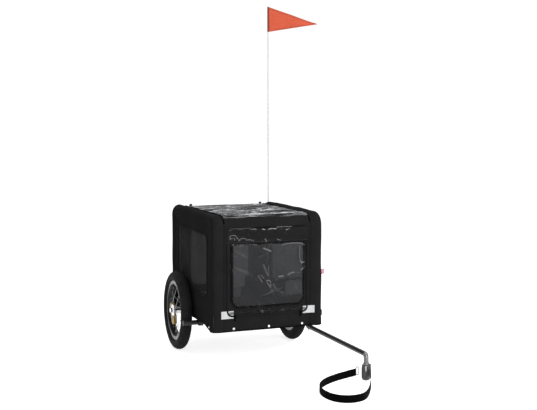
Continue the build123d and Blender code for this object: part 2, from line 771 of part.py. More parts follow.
# ---------------------------------------------------------------- flag
pole_x = mid_x + half_width - pole_inset
pole_y = rear_y + holder_radius + 2
holder_z = rail_z + 10
clip_z = roof_z - edge_radius - 30
with BuildPart() as flag_holder:
    for low, length in ((holder_z, holder_length), (clip_z, clip_length)):
        with BuildSketch(Plane.XY.offset(low)):
            with Locations((pole_x, pole_y)):
                Circle(holder_radius)
            with Locations((pole_x, rear_y + soft_gap)):
                Rectangle(2 * holder_radius, pole_y - rear_y, align=(Align.CENTER, Align.MIN))
            with Locations((pole_x, pole_y)):
                Circle(pole_radius, mode=Mode.SUBTRACT)
        extrude(amount=length)
    # closed foot under the pole
    with BuildSketch(Plane.XY.offset(holder_z)):
        with Locations((pole_x, pole_y)):
            Circle(holder_radius - 1)
    extrude(amount=holder_foot)
flag_holder.part.label = "flag_holder"
export_step(flag_holder.part, "parts/flag_holder.step")

with BuildPart() as flag_pole:
    with BuildSketch(Plane.XY.offset(holder_z + holder_foot)):
        with Locations((pole_x, pole_y)):
            Circle(pole_radius)
    extrude(amount=pole_top - holder_z - holder_foot)
    fillet(flag_pole.edges().group_by(Axis.Z)[-1], pole_radius / 2)
flag_pole.part.label = "flag_pole"
export_step(flag_pole.part, "parts/flag_pole.step")

with BuildPart() as flag:
    flag_x = pole_x + pole_radius + soft_gap
    with BuildSketch(Plane(origin=(0, pole_y, 0), x_dir=(1, 0, 0), z_dir=(0, -1, 0))):
        with BuildLine():
            Polyline(
                (flag_x, pole_top),
                (flag_x + flag_length, pole_top - flag_height / 2 - flag_droop),
                (flag_x, pole_top - flag_height),
                close=True,
            )
        make_face()
    extrude(amount=sheet / 2, both=True)
flag.part.label = "flag"
export_step(flag.part, "parts/flag.step")
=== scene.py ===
"""Dog bike trailer: its cloth, clear film, trim, wheels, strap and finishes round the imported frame.

Metres, +Z up. The trailer faces -Y, and its own left side is at +X.
"""

import math

import bpy
import numpy as np
from bpy.props import FloatProperty, FloatVectorProperty, PointerProperty
from bpy.types import Operator, Panel, PropertyGroup
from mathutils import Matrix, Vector


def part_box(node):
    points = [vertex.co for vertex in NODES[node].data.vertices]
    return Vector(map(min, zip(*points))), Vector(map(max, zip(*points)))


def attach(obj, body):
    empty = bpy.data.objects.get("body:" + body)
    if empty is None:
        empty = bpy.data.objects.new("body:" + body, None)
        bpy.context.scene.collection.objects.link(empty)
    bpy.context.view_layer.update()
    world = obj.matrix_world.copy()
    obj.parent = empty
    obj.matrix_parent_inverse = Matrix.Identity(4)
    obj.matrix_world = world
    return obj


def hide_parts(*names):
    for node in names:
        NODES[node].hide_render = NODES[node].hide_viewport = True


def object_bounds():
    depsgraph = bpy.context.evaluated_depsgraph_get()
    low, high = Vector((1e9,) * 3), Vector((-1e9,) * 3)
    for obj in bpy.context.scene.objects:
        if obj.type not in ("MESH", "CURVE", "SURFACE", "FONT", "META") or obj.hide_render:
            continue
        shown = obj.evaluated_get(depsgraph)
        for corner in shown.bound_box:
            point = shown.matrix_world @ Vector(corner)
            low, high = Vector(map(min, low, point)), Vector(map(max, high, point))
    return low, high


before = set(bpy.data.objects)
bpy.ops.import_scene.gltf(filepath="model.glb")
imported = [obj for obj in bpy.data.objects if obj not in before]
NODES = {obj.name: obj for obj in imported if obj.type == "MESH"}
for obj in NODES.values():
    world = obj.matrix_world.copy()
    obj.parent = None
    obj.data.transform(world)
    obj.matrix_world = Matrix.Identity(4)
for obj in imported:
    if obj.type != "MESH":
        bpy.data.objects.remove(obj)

bl_info = {
    "name": "Dog bike trailer",
    "version": (1, 0, 0),
    "blender": (4, 5, 0),
    "location": "3D View > Sidebar > Trailer",
    "description": "Builds the cloth cabin, wheels, strap and finishes of a dog bike trailer",
    "category": "Object",
}

CAD_LOW, CAD_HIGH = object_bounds()
TAU = 2 * math.pi
ACROSS, FORWARD, UP = np.array([1.0, 0.0, 0.0]), np.array([0.0, -1.0, 0.0]), np.array([0.0, 0.0, 1.0])

# ------------------------------------------------------------------ sizes read off the frame
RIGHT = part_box("side_panel_right")[0].x
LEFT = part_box("side_panel_left")[1].x
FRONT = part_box("front_panel")[0].y
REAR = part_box("rear_panel")[1].y
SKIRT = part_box("front_panel")[0].z
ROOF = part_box("front_panel")[1].z
MIDDLE = (LEFT + RIGHT) / 2
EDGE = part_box("front_panel")[1].y - FRONT     # radius of the edge between a wall and the roof
UPRIGHT = ROOF - EDGE - SKIRT                 # straight height of an end wall
QUARTER = EDGE * math.pi / 2
LENGTH = REAR - FRONT
GIRTH = 2 * (UPRIGHT + QUARTER) + LENGTH - 2 * EDGE
HALF = (LEFT - RIGHT) / 2
ENDS = ("front", "rear")
SIDES = ("left", "right")
AXLE = (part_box("rim_left")[0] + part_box("rim_left")[1]) / 2
RIM_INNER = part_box("rim_left")[1].z - AXLE.z - 0.013      # axle to the rim's inner face

# ------------------------------------------------------------------ sizes of the cloth
SEAM = 0.165              # middle plane to the seam between the middle and side cloths
HEM_RISE = 0.014          # the side hem lies this much higher between the wheels
HEM_RUN = 0.095
CORNER_STEPS = 8          # points on each quarter circle of an outline
TAPE_ROWS = 0.0022        # middle of a tape to each of its rows of stitches
SEAM_ROWS = 0.0026        # a seam to each of its rows of stitches
DOOR_EDGE = 0.158         # middle plane to the edge of a door's opening
FLAP_EDGE = 0.4425        # height of the lower edge of the flap that covers each door's top
FLAP_HALF = 0.1575        # half the flap's width
HINGE_ROOM = 0.0018       # a door cloth stops short of the wall above it, so that it can swing up
PATCH_LOW, PATCH_HIGH = 0.1760, 0.2030      # heights of the reflective patches


def in_metres(name, description, default, low, high):
    """A size setting."""
    return FloatProperty(name=name, description=description, default=default, min=low, max=high,
                         unit="LENGTH")


class TrailerSizes(PropertyGroup):
    """Sizes that can be changed before the pieces are built."""

    edge_round: in_metres("Edge rounding", "Radius of the edges along the side walls", 0.016, 0.004, 0.02)
    cloth: in_metres("Cloth thickness", "Thickness of the sewn walls", 0.0016, 0.0005, 0.003)
    proud: in_metres("Proud edges", "How far the cloth stands out over the hoops", 0.0078, 0.0, 0.01)
    ripple: in_metres("Ripple", "Height of the slack waves in the walls", 0.0013, 0.0, 0.004)
    piping: in_metres("Piping radius", "Radius of the cord sewn into the seams", 0.0019, 0.0008, 0.004)
    binding: in_metres("Binding width", "Width of the tape round the windows", 0.0088, 0.004, 0.02)
    stitch: in_metres("Stitch pitch", "Distance from one stitch to the next", 0.0045, 0.002, 0.01)
    snap: in_metres("Snap diameter", "Diameter of the press studs on the skirts", 0.0085, 0.005, 0.02)
    tread: in_metres("Tread depth", "Depth of the grooves in the tyres", 0.0017, 0.0, 0.004)
    crease: in_metres("Crease height", "Height of the creases in the clear film", 0.0032, 0.0, 0.008)


def colour(name, description, default):
    """A colour setting."""
    return FloatVectorProperty(name=name, description=description, default=default, size=3,
                               min=0.0, max=1.0, subtype="COLOR")


class TrailerColours(PropertyGroup):
    """Colours that can be changed before the pieces are built."""

    cloth: colour("Cloth", "Black woven walls", (0.0215, 0.0215, 0.0220))
    net: colour("Net", "Window net", (0.010, 0.010, 0.0105))
    # the film's light tint is partly the film's own milkiness and partly painted reflection of the pale
    # surroundings
    film: colour("Clear film", "Milky tint of the clear film", (0.62, 0.63, 0.66))
    trim: colour("Trim", "Piping, binding and zips", (0.0035, 0.0035, 0.0038))
    patch: colour("Reflective patch", "Reflective corner patches", (0.86, 0.87, 0.88))
    snap: colour("Snap", "Press studs", (0.85, 0.85, 0.86))
    tab: colour("Side tab", "Small tab on the left side", (0.85, 0.42, 0.52))
    mat: colour("Mat", "Floor mat", (0.035, 0.035, 0.038))
    paint: colour("Paint", "Black paint of the tubes", (0.008, 0.008, 0.0083))
    steel: colour("Steel", "Bare and plated steel", (0.27, 0.27, 0.275))
    bare: colour("Bare end", "Bare end of the drawbar", (0.15, 0.15, 0.155))
    plastic: colour("Plastic", "Moulded black pieces", (0.014, 0.014, 0.015))
    coupler: colour("Coupler", "Grey moulded coupler", (0.052, 0.052, 0.054))
    tyre: colour("Tyre", "Tyre rubber", (0.0135, 0.0135, 0.0140))
    rim: colour("Rim", "Grey rims", (0.17, 0.17, 0.175))
    chrome: colour("Chrome", "Plated hubs", (0.78, 0.78, 0.80))
    reflector: colour("Reflector", "Amber wheel reflectors", (0.86, 0.47, 0.03))
    strap: colour("Strap", "Black webbing", (0.0035, 0.0035, 0.004))
    flag: colour("Flag", "Flag cloth", (0.78, 0.135, 0.070))
    flag_hem: colour("Flag hem", "Folded edges of the flag", (0.66, 0.12, 0.065))
    flag_sleeve: colour("Flag sleeve", "Sleeve on the pole", (0.26, 0.065, 0.05))
    pole: colour("Pole", "Flag pole", (0.60, 0.60, 0.60))


def sizes():
    """The trailer's size settings."""
    return bpy.context.scene.trailer_sizes


def colours():
    """The trailer's colour settings."""
    return bpy.context.scene.trailer_colours


# ------------------------------------------------------------------ meshes from arrays
class Shape:
    """Grids of points that become one mesh, each with its own map in metres."""

    def __init__(self):
        self.points, self.corners, self.totals, self.maps, self.count = [], [], [], [], 0
        self.marks = {}

    def mark(self, name, values):
        """Keeps a value for each point of a shape's only grid, for a material to read."""
        self.marks[name] = values.ravel().astype(np.float32)

    def grid(self, points, uv=None, wrap=(False, False), outward=None, caps=False, keep=None):
        """Joins a grid of points by quads. wrap closes it along its rows or its columns, and keep
        picks the faces by the grid of their first points.

        Faces are turned to the outward vectors, or so that a closed shape holds a positive
        volume: the sum over its faces of centre . normal."""
        rows, cols = points.shape[:2]
        map_rows, map_cols = rows + wrap[0], cols + wrap[1]
        if uv is None:
            uv = np.stack(np.meshgrid(np.linspace(0, 1, map_rows), np.linspace(0, 1, map_cols),
                                      indexing="ij"), -1)
        row, col = np.meshgrid(np.arange(map_rows - 1), np.arange(map_cols - 1), indexing="ij")
        steps = ((0, 0), (0, 1), (1, 1), (1, 0))
        face = np.stack([((row + a) % rows) * cols + (col + b) % cols for a, b in steps], -1)
        place = np.stack([(row + a) * map_cols + col + b for a, b in steps], -1)
        face, place = face.reshape(-1, 4), place.reshape(-1, 4)
        flat = points.reshape(-1, 3)
        a, b, c, d = (flat[face[:, k]] for k in range(4))
        normal = np.cross(c - a, d - b)
        if outward is None:
            centre = (a + b + c + d) / 4 - flat.mean(0)
            turned = (centre * normal).sum() < 0
        else:
            wanted = np.broadcast_to(outward, points.shape).reshape(-1, 3)[face[:, 0]]
            turned = (wanted * normal).sum() < 0
        if turned:
            face, place = face[:, ::-1], place[:, ::-1]
        if keep is not None:
            chosen = keep[:map_rows - 1, :map_cols - 1].ravel()
            face, place = face[chosen], place[chosen]
        self.points.append(flat)
        self.corners.append((face + self.count).ravel())
        self.totals.append(np.full(len(face), 4))
        self.maps.append(uv.reshape(-1, 2)[place].reshape(-1, 2))
        if caps:
            for end, reverse in ((0, not turned), (rows - 1, turned)):
                ring = end * cols + np.arange(cols)
                if reverse:
                    ring = ring[::-1]
                self.corners.append(ring + self.count)
                self.totals.append(np.array([cols]))
                self.maps.append(uv[end, ring % cols])
        self.count += len(flat)
        return self

    def copies(self, solid, origins, axes):
        """Copies of a small solid: each point p becomes origin + p.x axis0 + p.y axis1 + p.z axis2."""
        points, faces = solid
        placed = origins[:, None] + np.einsum("pk,nkc->npc", points, axes)
        number = len(origins)
        face = faces[None] + (np.arange(number) * len(points))[:, None, None] + self.count
        self.points.append(placed.reshape(-1, 3))
        self.corners.append(face.ravel())
        self.totals.append(np.full(number * len(faces), faces.shape[1]))
        self.maps.append(np.zeros((face.size, 2)))
        self.count += number * len(points)
        return self

    def build(self, name, look, body="chassis", slot="cabin_fabric", smooth=True, merge=0.0):
        """Makes the object with a finish. It rides on a body; slot is not used."""
        mesh = bpy.data.meshes.new(name)
        used, corners = np.unique(np.concatenate(self.corners), return_inverse=True)
        points = np.concatenate(self.points)[used]
        totals = np.concatenate(self.totals)
        mesh.vertices.add(len(points))
        mesh.vertices.foreach_set("co", points.astype(np.float32).ravel())
        mesh.loops.add(len(corners))
        mesh.loops.foreach_set("vertex_index", corners.ravel().astype(np.int32))
        mesh.polygons.add(len(totals))
        mesh.polygons.foreach_set("loop_start", (np.cumsum(totals) - totals).astype(np.int32))
        mesh.uv_layers.new(name="metres").uv.foreach_set(
            "vector", np.concatenate(self.maps).astype(np.float32).ravel())
        for mark, values in self.marks.items():
            mesh.attributes.new(mark, "FLOAT", "POINT").data.foreach_set("value", values[used])
        mesh.update(calc_edges=True)
        mesh.polygons.foreach_set("use_smooth", np.full(len(totals), smooth))
        piece = bpy.data.objects.new(name, mesh)
        bpy.context.scene.collection.objects.link(piece)
        if merge:
            piece.modifiers.new("Joined seams", "WELD").merge_threshold = merge
        mesh.materials.append(finish(look))
        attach(piece, body)
        return piece


def thicken(piece, thickness, offset=-1.0):
    """Gives a sheet its thickness, inwards from its outer face."""
    wall = piece.modifiers.new("Thickness", "SOLIDIFY")
    wall.thickness = thickness
    wall.offset = offset
    return piece


def apply_modifiers(piece):
    """Puts the modifiers' result into the mesh."""
    graph = bpy.context.evaluated_depsgraph_get()
    mesh = bpy.data.meshes.new_from_object(piece.evaluated_get(graph))
    piece.modifiers.clear()
    piece.data = mesh


def circle(radius, sides=10):
    """A round profile."""
    angle = np.arange(sides) * TAU / sides
    return radius * np.stack([np.cos(angle), np.sin(angle)], -1)


def power(value, exponent):
    """A power that keeps the value's sign."""
    return np.sign(value) * np.abs(value) ** exponent


def tape(width, height, sides=16, square=0.35):
    """A flat profile with soft edges: half sizes times signed powers of cosine and sine."""
    angle = (np.arange(sides) + 0.5) * TAU / sides
    return np.stack([width / 2 * power(np.cos(angle), square),
                     height / 2 * power(np.sin(angle), square)], -1)


def block(half, rows, cols, level, turn, up):
    """A block with soft edges: half sizes times signed powers of two angles' cosines and sines."""
    u, v = np.meshgrid(np.linspace(-math.pi / 2, math.pi / 2, rows), np.arange(cols) * TAU / cols,
                       indexing="ij")
    ring = power(np.cos(u), level)
    return half * np.stack([ring * power(np.cos(v), turn), ring * power(np.sin(v), turn),
                            power(np.sin(u), up)], -1)


def distances(path, closed=False):
    """Distance along a path at each of its points, and at its start again if it is closed."""
    if closed:
        path = np.concatenate([path, path[:1]])
    steps = np.linalg.norm(np.diff(path, axis=0), axis=1)
    return np.concatenate([[0], np.cumsum(steps)])


def carry(shape, path, across, up, profile, closed=False):
    """A profile carried along a path: path + x across + y up, for each profile point (x, y)."""
    across, up = np.broadcast_to(across, path.shape), np.broadcast_to(up, path.shape)
    grid = (path[:, None] + profile[None, :, :1] * across[:, None] + profile[None, :, 1:] * up[:, None])
    along = distances(path, closed)
    round_it = distances(np.concatenate([profile, np.zeros((len(profile), 1))], 1), True)
    uv = np.stack(np.meshgrid(along, round_it, indexing="ij"), -1)
    return shape.grid(grid, uv, wrap=(closed, True), caps=not closed)


def tangents(path, closed=False):
    """Unit directions along a path, from each point's neighbours."""
    if closed:
        step = np.roll(path, -1, 0) - np.roll(path, 1, 0)
    else:
        step = np.gradient(path, axis=0)
    return step / np.linalg.norm(step, axis=1, keepdims=True)


def lathe(profile, sides, radius=1.0):
    """A turned solid: profile points (share of a radius, height) round the third axis. Points and quads."""
    angle = np.arange(sides) * TAU / sides
    reach, height = (np.array(profile) * [radius, 1.0]).T
    points = np.stack([reach[:, None] * np.cos(angle), reach[:, None] * np.sin(angle),
                       np.repeat(height[:, None], sides, 1)], -1)
    row, col = np.meshgrid(np.arange(len(profile) - 1), np.arange(sides), indexing="ij")
    after = (col + 1) % sides
    faces = np.stack([row * sides + col, row * sides + after,
                      (row + 1) * sides + after, (row + 1) * sides + col], -1)
    return points.reshape(-1, 3), faces.reshape(-1, 4)


def axes_from(third, first=(0.0, 0.0, 1.0)):
    """Three unit axes for each third axis, the first as near as can be to a given direction."""
    third = np.atleast_2d(np.asarray(third, float))
    third = third / np.linalg.norm(third, axis=1, keepdims=True)
    first = np.broadcast_to(np.asarray(first, float), third.shape)
    first = first - (first * third).sum(1, keepdims=True) * third
    first = first / np.linalg.norm(first, axis=1, keepdims=True)
    return np.stack([first, np.cross(third, first), third], 1)


def rounded(low, high, radius, steps):
    """A rectangle with round corners, as points (n, 2) anticlockwise from its lower left corner.

    steps are the points on its lower, right, upper and left edges; each corner is a quarter circle."""
    x0, y0, x1, y1 = low[0] + radius, low[1] + radius, high[0] - radius, high[1] - radius
    centres = np.array([(x0, y0), (x1, y0), (x1, y1), (x0, y1)])
    parts = []
    for k in range(4):
        angle = math.pi + (k + np.arange(CORNER_STEPS + 1) / CORNER_STEPS) * math.pi / 2
        around = radius * np.stack([np.cos(angle), np.sin(angle)], -1)
        begin, end = centres[k] + around[-1], centres[(k + 1) % 4] + around[-1]
        share = (np.arange(steps[k]) / steps[k])[:, None]
        parts += [centres[k] + around[:-1], begin + (end - begin) * share]
    return np.concatenate(parts)


def between(inner, outer, rows):
    """Rows of points from an inner closed line to an outer one."""
    share = np.linspace(0, 1, rows)[:, None, None]
    return inner + (outer - inner) * share


# ------------------------------------------------------------------ the cabin's skin
def outline(s):
    """The cabin's outline in (y, z): the front wall upwards, a quarter circle, the roof, a quarter
    circle and the rear wall downwards. s is the distance along it from the front skirt.
    Returns y, z and the outward normal's two parts."""
    a, b = UPRIGHT, UPRIGHT + QUARTER
    c, d = GIRTH - b, GIRTH - a
    turn_front = np.clip((s - a) / EDGE, 0, math.pi / 2)
    turn_rear = np.clip((s - c) / EDGE, 0, math.pi / 2)
    y = FRONT + EDGE * (1 - np.cos(turn_front)) + np.clip(s - b, 0, c - b) + EDGE * np.sin(turn_rear)
    z = (SKIRT + np.clip(s, None, a) + EDGE * np.sin(turn_front) - EDGE * (1 - np.cos(turn_rear))
         - np.clip(s - d, 0, None))
    across = np.where(s < (a + d) / 2, -np.cos(turn_front), np.sin(turn_rear))
    up = np.where(s < (a + d) / 2, np.sin(turn_front), np.cos(turn_rear))
    return y, z, across, up


def skin(x, s, lift=0.0):
    """Points on the cabin's front, roof and rear at x from the middle plane and s along the outline,
    and their outward normals."""
    x, s = np.broadcast_arrays(np.asarray(x, float), np.asarray(s, float))
    y, z, across, up = outline(s)
    normal = np.stack([np.zeros_like(s), across, up], -1)
    return np.stack([MIDDLE + x, y, z], -1) + normal * np.asarray(lift)[..., None], normal


def side_skin(side, y, z, lift=0.0):
    """Points on a side wall, and their outward normals."""
    y, z = np.broadcast_arrays(np.asarray(y, float), np.asarray(z, float))
    sign = sign_of(side)
    normal = np.zeros(y.shape + (3,))
    normal[..., 0] = sign
    wall = np.full(y.shape, LEFT if sign > 0 else RIGHT)
    return np.stack([wall, y, z], -1) + normal * np.asarray(lift)[..., None], normal


def sign_of(side):
    """The side's direction along X."""
    return 1 if side == "left" else -1


def on_wall(wall, flat, lift=0.0):
    """Points and outward normals at (x, s) on an end wall, or at (y, z) on a side."""
    if wall in ENDS:
        return skin(flat[..., 0], flat[..., 1], lift)
    return side_skin(wall, flat[..., 0], flat[..., 1], lift)


def waves(points, shortest=0.045, longest=0.30, number=14, seed=3):
    """Slack in cloth, from -1 to 1: a sum of sine waves in scattered directions."""
    random = np.random.default_rng(seed)
    length = shortest * (longest / shortest) ** random.random(number)
    direction = random.normal(size=(number, 3))
    direction /= np.linalg.norm(direction, axis=1, keepdims=True)
    weight = length / length.sum()
    phase = random.random(number) * TAU
    return (np.sin(points @ (direction * TAU / length[:, None]).T + phase) * weight).sum(-1) * 2.2


def step_up(value, low, high):
    """A smooth step from 0 at low to 1 at high."""
    share = np.clip((value - low) / (high - low), 0, 1)
    return share * share * (3 - 2 * share)


def slack(points, normals, lift=0.0):
    """Moves points along their normals by the cloth's slack waves and a lift."""
    return points + normals * (waves(points) * sizes().ripple)[..., None] + normals * lift


def sew(points, normals, flat, ring=False, shape=None):
    """A grid of slack cloth. A ring is joined to itself along its columns."""
    uv = np.concatenate([flat, flat[:, :1]], 1) if ring else flat
    return (shape or Shape()).grid(slack(points, normals), uv=uv, wrap=(False, ring), outward=normals)


def end_s(end, z):
    """Distance along the outline at height z of the front or rear wall."""
    return z - SKIRT if end == "front" else GIRTH - (z - SKIRT)


def corners(node, wall):
    """The low and high corner of a solid's box: (x, s) on an end wall, or (y, z) on a side."""
    low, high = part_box(node)
    if wall in ENDS:
        heights = sorted((end_s(wall, low.z), end_s(wall, high.z)))
        return np.array([low.x - MIDDLE, heights[0]]), np.array([high.x - MIDDLE, heights[1]])
    return np.array([low.y, low.z]), np.array([high.y, high.z])


def opening(node, wall):
    """The area of a solid's box on its wall."""
    low, high = corners(node, wall)
    return float((high - low).prod())


def node_outline(node, wall, shrink=0.0, radius=0.02, steps=(44, 44, 44, 44)):
    """The outline of a solid's box on its wall, with round corners."""
    low, high = corners(node, wall)
    return rounded(low + shrink, high - shrink, radius - shrink, steps)


# ------------------------------------------------------------------ finishes
class Nodes:
    """A node tree, with short ways to add nodes and join them."""

    def __init__(self, tree):
        self.tree = tree

    def give(self, socket, value):
        """Gives a socket a value, or joins another node's socket to it."""
        if isinstance(value, bpy.types.NodeSocket):
            self.tree.links.new(value, socket)
        else:
            socket.default_value = (*value, 1.0) if socket.type == "RGBA" else value

    def add(self, kind, inputs=None, **values):
        """Adds a node. inputs maps a socket's name or number to a value or another node's socket."""
        node = self.tree.nodes.new(kind)
        for key, value in values.items():
            setattr(node, key, value)
        for key, value in (inputs or {}).items():
            self.give(node.inputs[key], value)
        return node

    def math(self, operation, a, b=0.0, c=0.0, clamp=False):
        """A math node's result."""
        return self.add("ShaderNodeMath", {0: a, 1: b, 2: c}, operation=operation,
                        use_clamp=clamp).outputs[0]

    def ramp(self, value, low, high, out_low=0.0, out_high=1.0):
        """A smooth step from low to high."""
        return self.add("ShaderNodeMapRange", {"Value": value, "From Min": low, "From Max": high,
                                               "To Min": out_low, "To Max": out_high},
                        interpolation_type="SMOOTHSTEP").outputs[0]

    def mix(self, factor, a, b):
        """A colour between a and b."""
        return self.add("ShaderNodeMix", {0: factor, 6: a, 7: b}, data_type="RGBA").outputs[2]

    def effect(self, name, vector, value):
        """The outputs of a shared effect, whose group is built the first time that it is asked for."""
        build, setting, default = EFFECTS[name]
        tree = bpy.data.node_groups.get(name) or new_effect(name, build, setting, default)
        return self.add("ShaderNodeGroup", {"Vector": vector, setting: value}, node_tree=tree).outputs

    def first_hit(self):
        """1 for rays that show a surface to the camera, straight on or by a mirror, and 0 for others."""
        rays = self.add("ShaderNodeLightPath").outputs
        mirrored = self.math("MAXIMUM", rays["Is Glossy Ray"], rays["Is Transmission Ray"])
        return self.math("MAXIMUM", rays["Is Camera Ray"], mirrored)


def new_effect(name, build, setting, default):
    """A new shader node group with a vector and one setting. build(nodes, vector, value) gives its
    outputs by name."""
    tree = bpy.data.node_groups.new(name, "ShaderNodeTree")
    tree.interface.new_socket(name="Vector", in_out="INPUT", socket_type="NodeSocketVector")
    value = tree.interface.new_socket(name=setting, in_out="INPUT", socket_type="NodeSocketFloat")
    value.default_value = default
    nodes = Nodes(tree)
    given = nodes.add("NodeGroupInput").outputs
    results = build(nodes, given["Vector"], given[setting])
    for key in results:
        tree.interface.new_socket(name=key, in_out="OUTPUT", socket_type="NodeSocketFloat")
    nodes.add("NodeGroupOutput", results)
    return tree


def thread_waves(nodes, kind, vector, threads):
    """A wave across each of two sets of threads."""
    parts = nodes.add("ShaderNodeSeparateXYZ", {0: vector}).outputs
    angles = [nodes.math("MULTIPLY", parts[axis], threads) for axis in (0, 1)]
    return [nodes.math(kind, nodes.math("MULTIPLY", angle, math.pi)) for angle in angles]


def weave_effect(nodes, vector, threads):
    """Plain weave: two sets of threads, each seen where the other goes under. The height is the
    absolute sine across the thread that lies on top, and which one is on top alternates."""
    first, second = thread_waves(nodes, "SINE", vector, threads)
    over = nodes.math("GREATER_THAN", nodes.math("MULTIPLY", first, second), 0.0)
    warp = nodes.math("MULTIPLY", nodes.math("ABSOLUTE", first), over)
    weft = nodes.math("MULTIPLY", nodes.math("ABSOLUTE", second), nodes.math("SUBTRACT", 1.0, over))
    return {"Height": nodes.math("ADD", warp, weft)}


def mottle_effect(nodes, vector, size):
    """Uneven tone: a large noise as a smooth step, and a small one for fine grain."""
    scale = nodes.math("DIVIDE", 1.0, size)
    large = nodes.add("ShaderNodeTexNoise", {"Vector": vector, "Scale": scale, "Detail": 3.0,
                                             "Roughness": 0.55})
    small = nodes.add("ShaderNodeTexNoise", {"Vector": vector, "Detail": 2.0,
                                             "Scale": nodes.math("MULTIPLY", scale, 14.0)})
    return {"Tone": nodes.ramp(large.outputs[0], 0.3, 0.7), "Fine": small.outputs[0]}


def prisms_effect(nodes, vector, cells):
    """Prisms of a reflector: a cell's height is the distance to its middle, and a thin line of it
    lies along each cell's border, for painted shade."""
    edge = nodes.add("ShaderNodeTexVoronoi", {"Vector": vector, "Scale": cells, "Randomness": 0.15},
                     feature="DISTANCE_TO_EDGE").outputs["Distance"]
    return {"Line": nodes.ramp(edge, 0.12, 0.0), "Height": edge}


def net_effect(nodes, vector, threads):
    """Net: the cover is high where either of two sets of threads passes."""
    lines = [nodes.math("ABSOLUTE", wave) for wave in thread_waves(nodes, "COSINE", vector, threads)]
    top = nodes.math("MAXIMUM", *lines)
    return {"Cover": nodes.ramp(top, 0.55, 0.85), "Height": top}


EFFECTS = {               # what builds each shared effect, its setting and the setting's default
    "weave": (weave_effect, "Threads", 1200.0), "mottle": (mottle_effect, "Size", 0.05),
    "prisms": (prisms_effect, "Cells", 300.0), "net": (net_effect, "Threads", 620.0),
}


BARE_END = 0.009          # the drawbar's paint ends this far behind the coupler's axis
NET_THREADS = 620.0       # threads in a metre of window net


def times(tint, factor):
    """A colour made lighter or darker."""
    return [min(1.0, part * factor) for part in tint]


class Finish(Nodes):
    """A new material with a Principled shader. values go straight on the shader's sockets. With a
    size, it has an uneven tone over that length, and a fine grain."""

    def __init__(self, name, values, size=None):
        self.material = bpy.data.materials.new(name)
        self.material.use_nodes = True
        super().__init__(self.material.node_tree)
        self.feed(values)
        self.place = self.add("ShaderNodeTexCoord").outputs["Object"]
        if size:
            mottle = self.effect("mottle", self.place, size)
            self.tone, self.fine = mottle["Tone"], mottle["Fine"]

    def feed(self, values):
        """Gives the shader's sockets values or other nodes' sockets."""
        shader = self.tree.nodes["Principled BSDF"]
        for key, value in values.items():
            self.give(shader.inputs[key], value)

    def metres(self):
        """The piece's own map."""
        return self.add("ShaderNodeUVMap", uv_map="metres").outputs[0]

    def uneven(self, tint, vary=0.15):
        """A colour that goes a share darker and lighter with the tone."""
        return self.mix(self.tone, times(tint, 1 - vary), times(tint, 1 + vary))

    def grainy(self, low, high):
        """A value that goes from low to high with the fine grain."""
        return self.ramp(self.fine, 0.2, 0.8, low, high)

    def bump(self, height, distance, strength=1.0):
        """Feeds a height in metres times distance into the shader's normal. Returns the material."""
        node = self.add("ShaderNodeBump", {"Height": height, "Distance": distance, "Strength": strength})
        self.feed({"Normal": node.outputs[0]})
        return self.material


def cloth_finish(name, tint, threads=900.0, rough=0.85, sheen=0.0, depth=0.00025, vary=0.2,
                 gloss=0.01):
    """Woven cloth: threads across its own map, slightly uneven in tone, with painted shade between
    the threads and a soft sheen.
    """
    new = Finish(name, {"Sheen Weight": sheen, "Sheen Roughness": 0.5, "Specular IOR Level": gloss}, 0.08)
    height = new.effect("weave", new.metres(), threads)["Height"]
    # painted shade: darker down between the threads
    shade_between_threads = new.math("MULTIPLY", height, 0.5)
    new.feed({"Base Color": new.mix(shade_between_threads, times(tint, 0.6), new.uneven(tint, vary)),
              "Roughness": new.grainy(rough - 0.08, rough + 0.06)})
    return new.bump(height, depth)


def net_finish(name, tint, open_cover=0.62):
    """Window net: dark threads, with painted shade where they dip and lighter crowns, and holes that
    let part of the light through.
    """
    new = Finish(name, {"Roughness": 0.8, "Specular IOR Level": 0.05})
    mesh = new.effect("net", new.metres(), NET_THREADS)
    # painted shade and highlight: darker where the threads dip, lighter on their crowns
    new.feed({"Base Color": new.mix(mesh["Height"], times(tint, 0.7), times(tint, 1.4)),
              "Alpha": new.ramp(mesh["Cover"], 0.0, 1.0, open_cover, 0.93)})
    return new.bump(mesh["Height"], 0.0002)


def film_finish(name, tint, cover, veil, glint, rough=0.1, gloss=0.3, reflection_tint=None):
    """Clear film: see-through and glossy, hazy and with painted reflection where its veil
    mark is high, and with painted glints, white highlights, where its glint mark is. cover,
    veil and glint are how much of what lies behind each of them hides. With a
    reflection tint, the film hides nearly all behind its panes and paints there the light seen through
    the window and reflected off the film, going to that tint where they overlap."""
    new = Finish(name, {"Specular IOR Level": gloss}, 0.06)
    glints, haze_and_reflection_marks = (new.add("ShaderNodeAttribute", attribute_name=mark).outputs["Fac"]
                     for mark in ("glint", "veil"))
    # over the window's panes the film hides nearly all behind it, so its colour is painted light
    panes = new.ramp(haze_and_reflection_marks, 0.82, 1.0) if reflection_tint else 0.0
    # painted glints: white mixed in by the glint mark, less of it over the window's panes
    painted_glint = new.math("DIVIDE", glints, new.math("MULTIPLY_ADD", panes, 2.5, 0.4), clamp=True)
    # painted light and reflection: over the panes the colour goes to the reflection tint
    body = new.mix(new.ramp(haze_and_reflection_marks, 1.05, 2.2), tint, reflection_tint or tint)
    hidden = new.math("MULTIPLY", new.math("MULTIPLY_ADD", haze_and_reflection_marks, veil, cover),
                      new.ramp(new.tone, 0.0, 1.0, 0.7, 1.3))
    hidden = new.math("MULTIPLY_ADD", panes, new.math("SUBTRACT", 0.92, hidden), hidden)
    new.feed({"Base Color": new.mix(painted_glint, body, (0.92, 0.92, 0.95)),
              "Alpha": new.math("MULTIPLY_ADD", glints, glint, hidden, clamp=True),
              "Roughness": new.ramp(new.tone, 0.0, 1.0, rough * 0.8, rough * 1.3)})
    return new.material


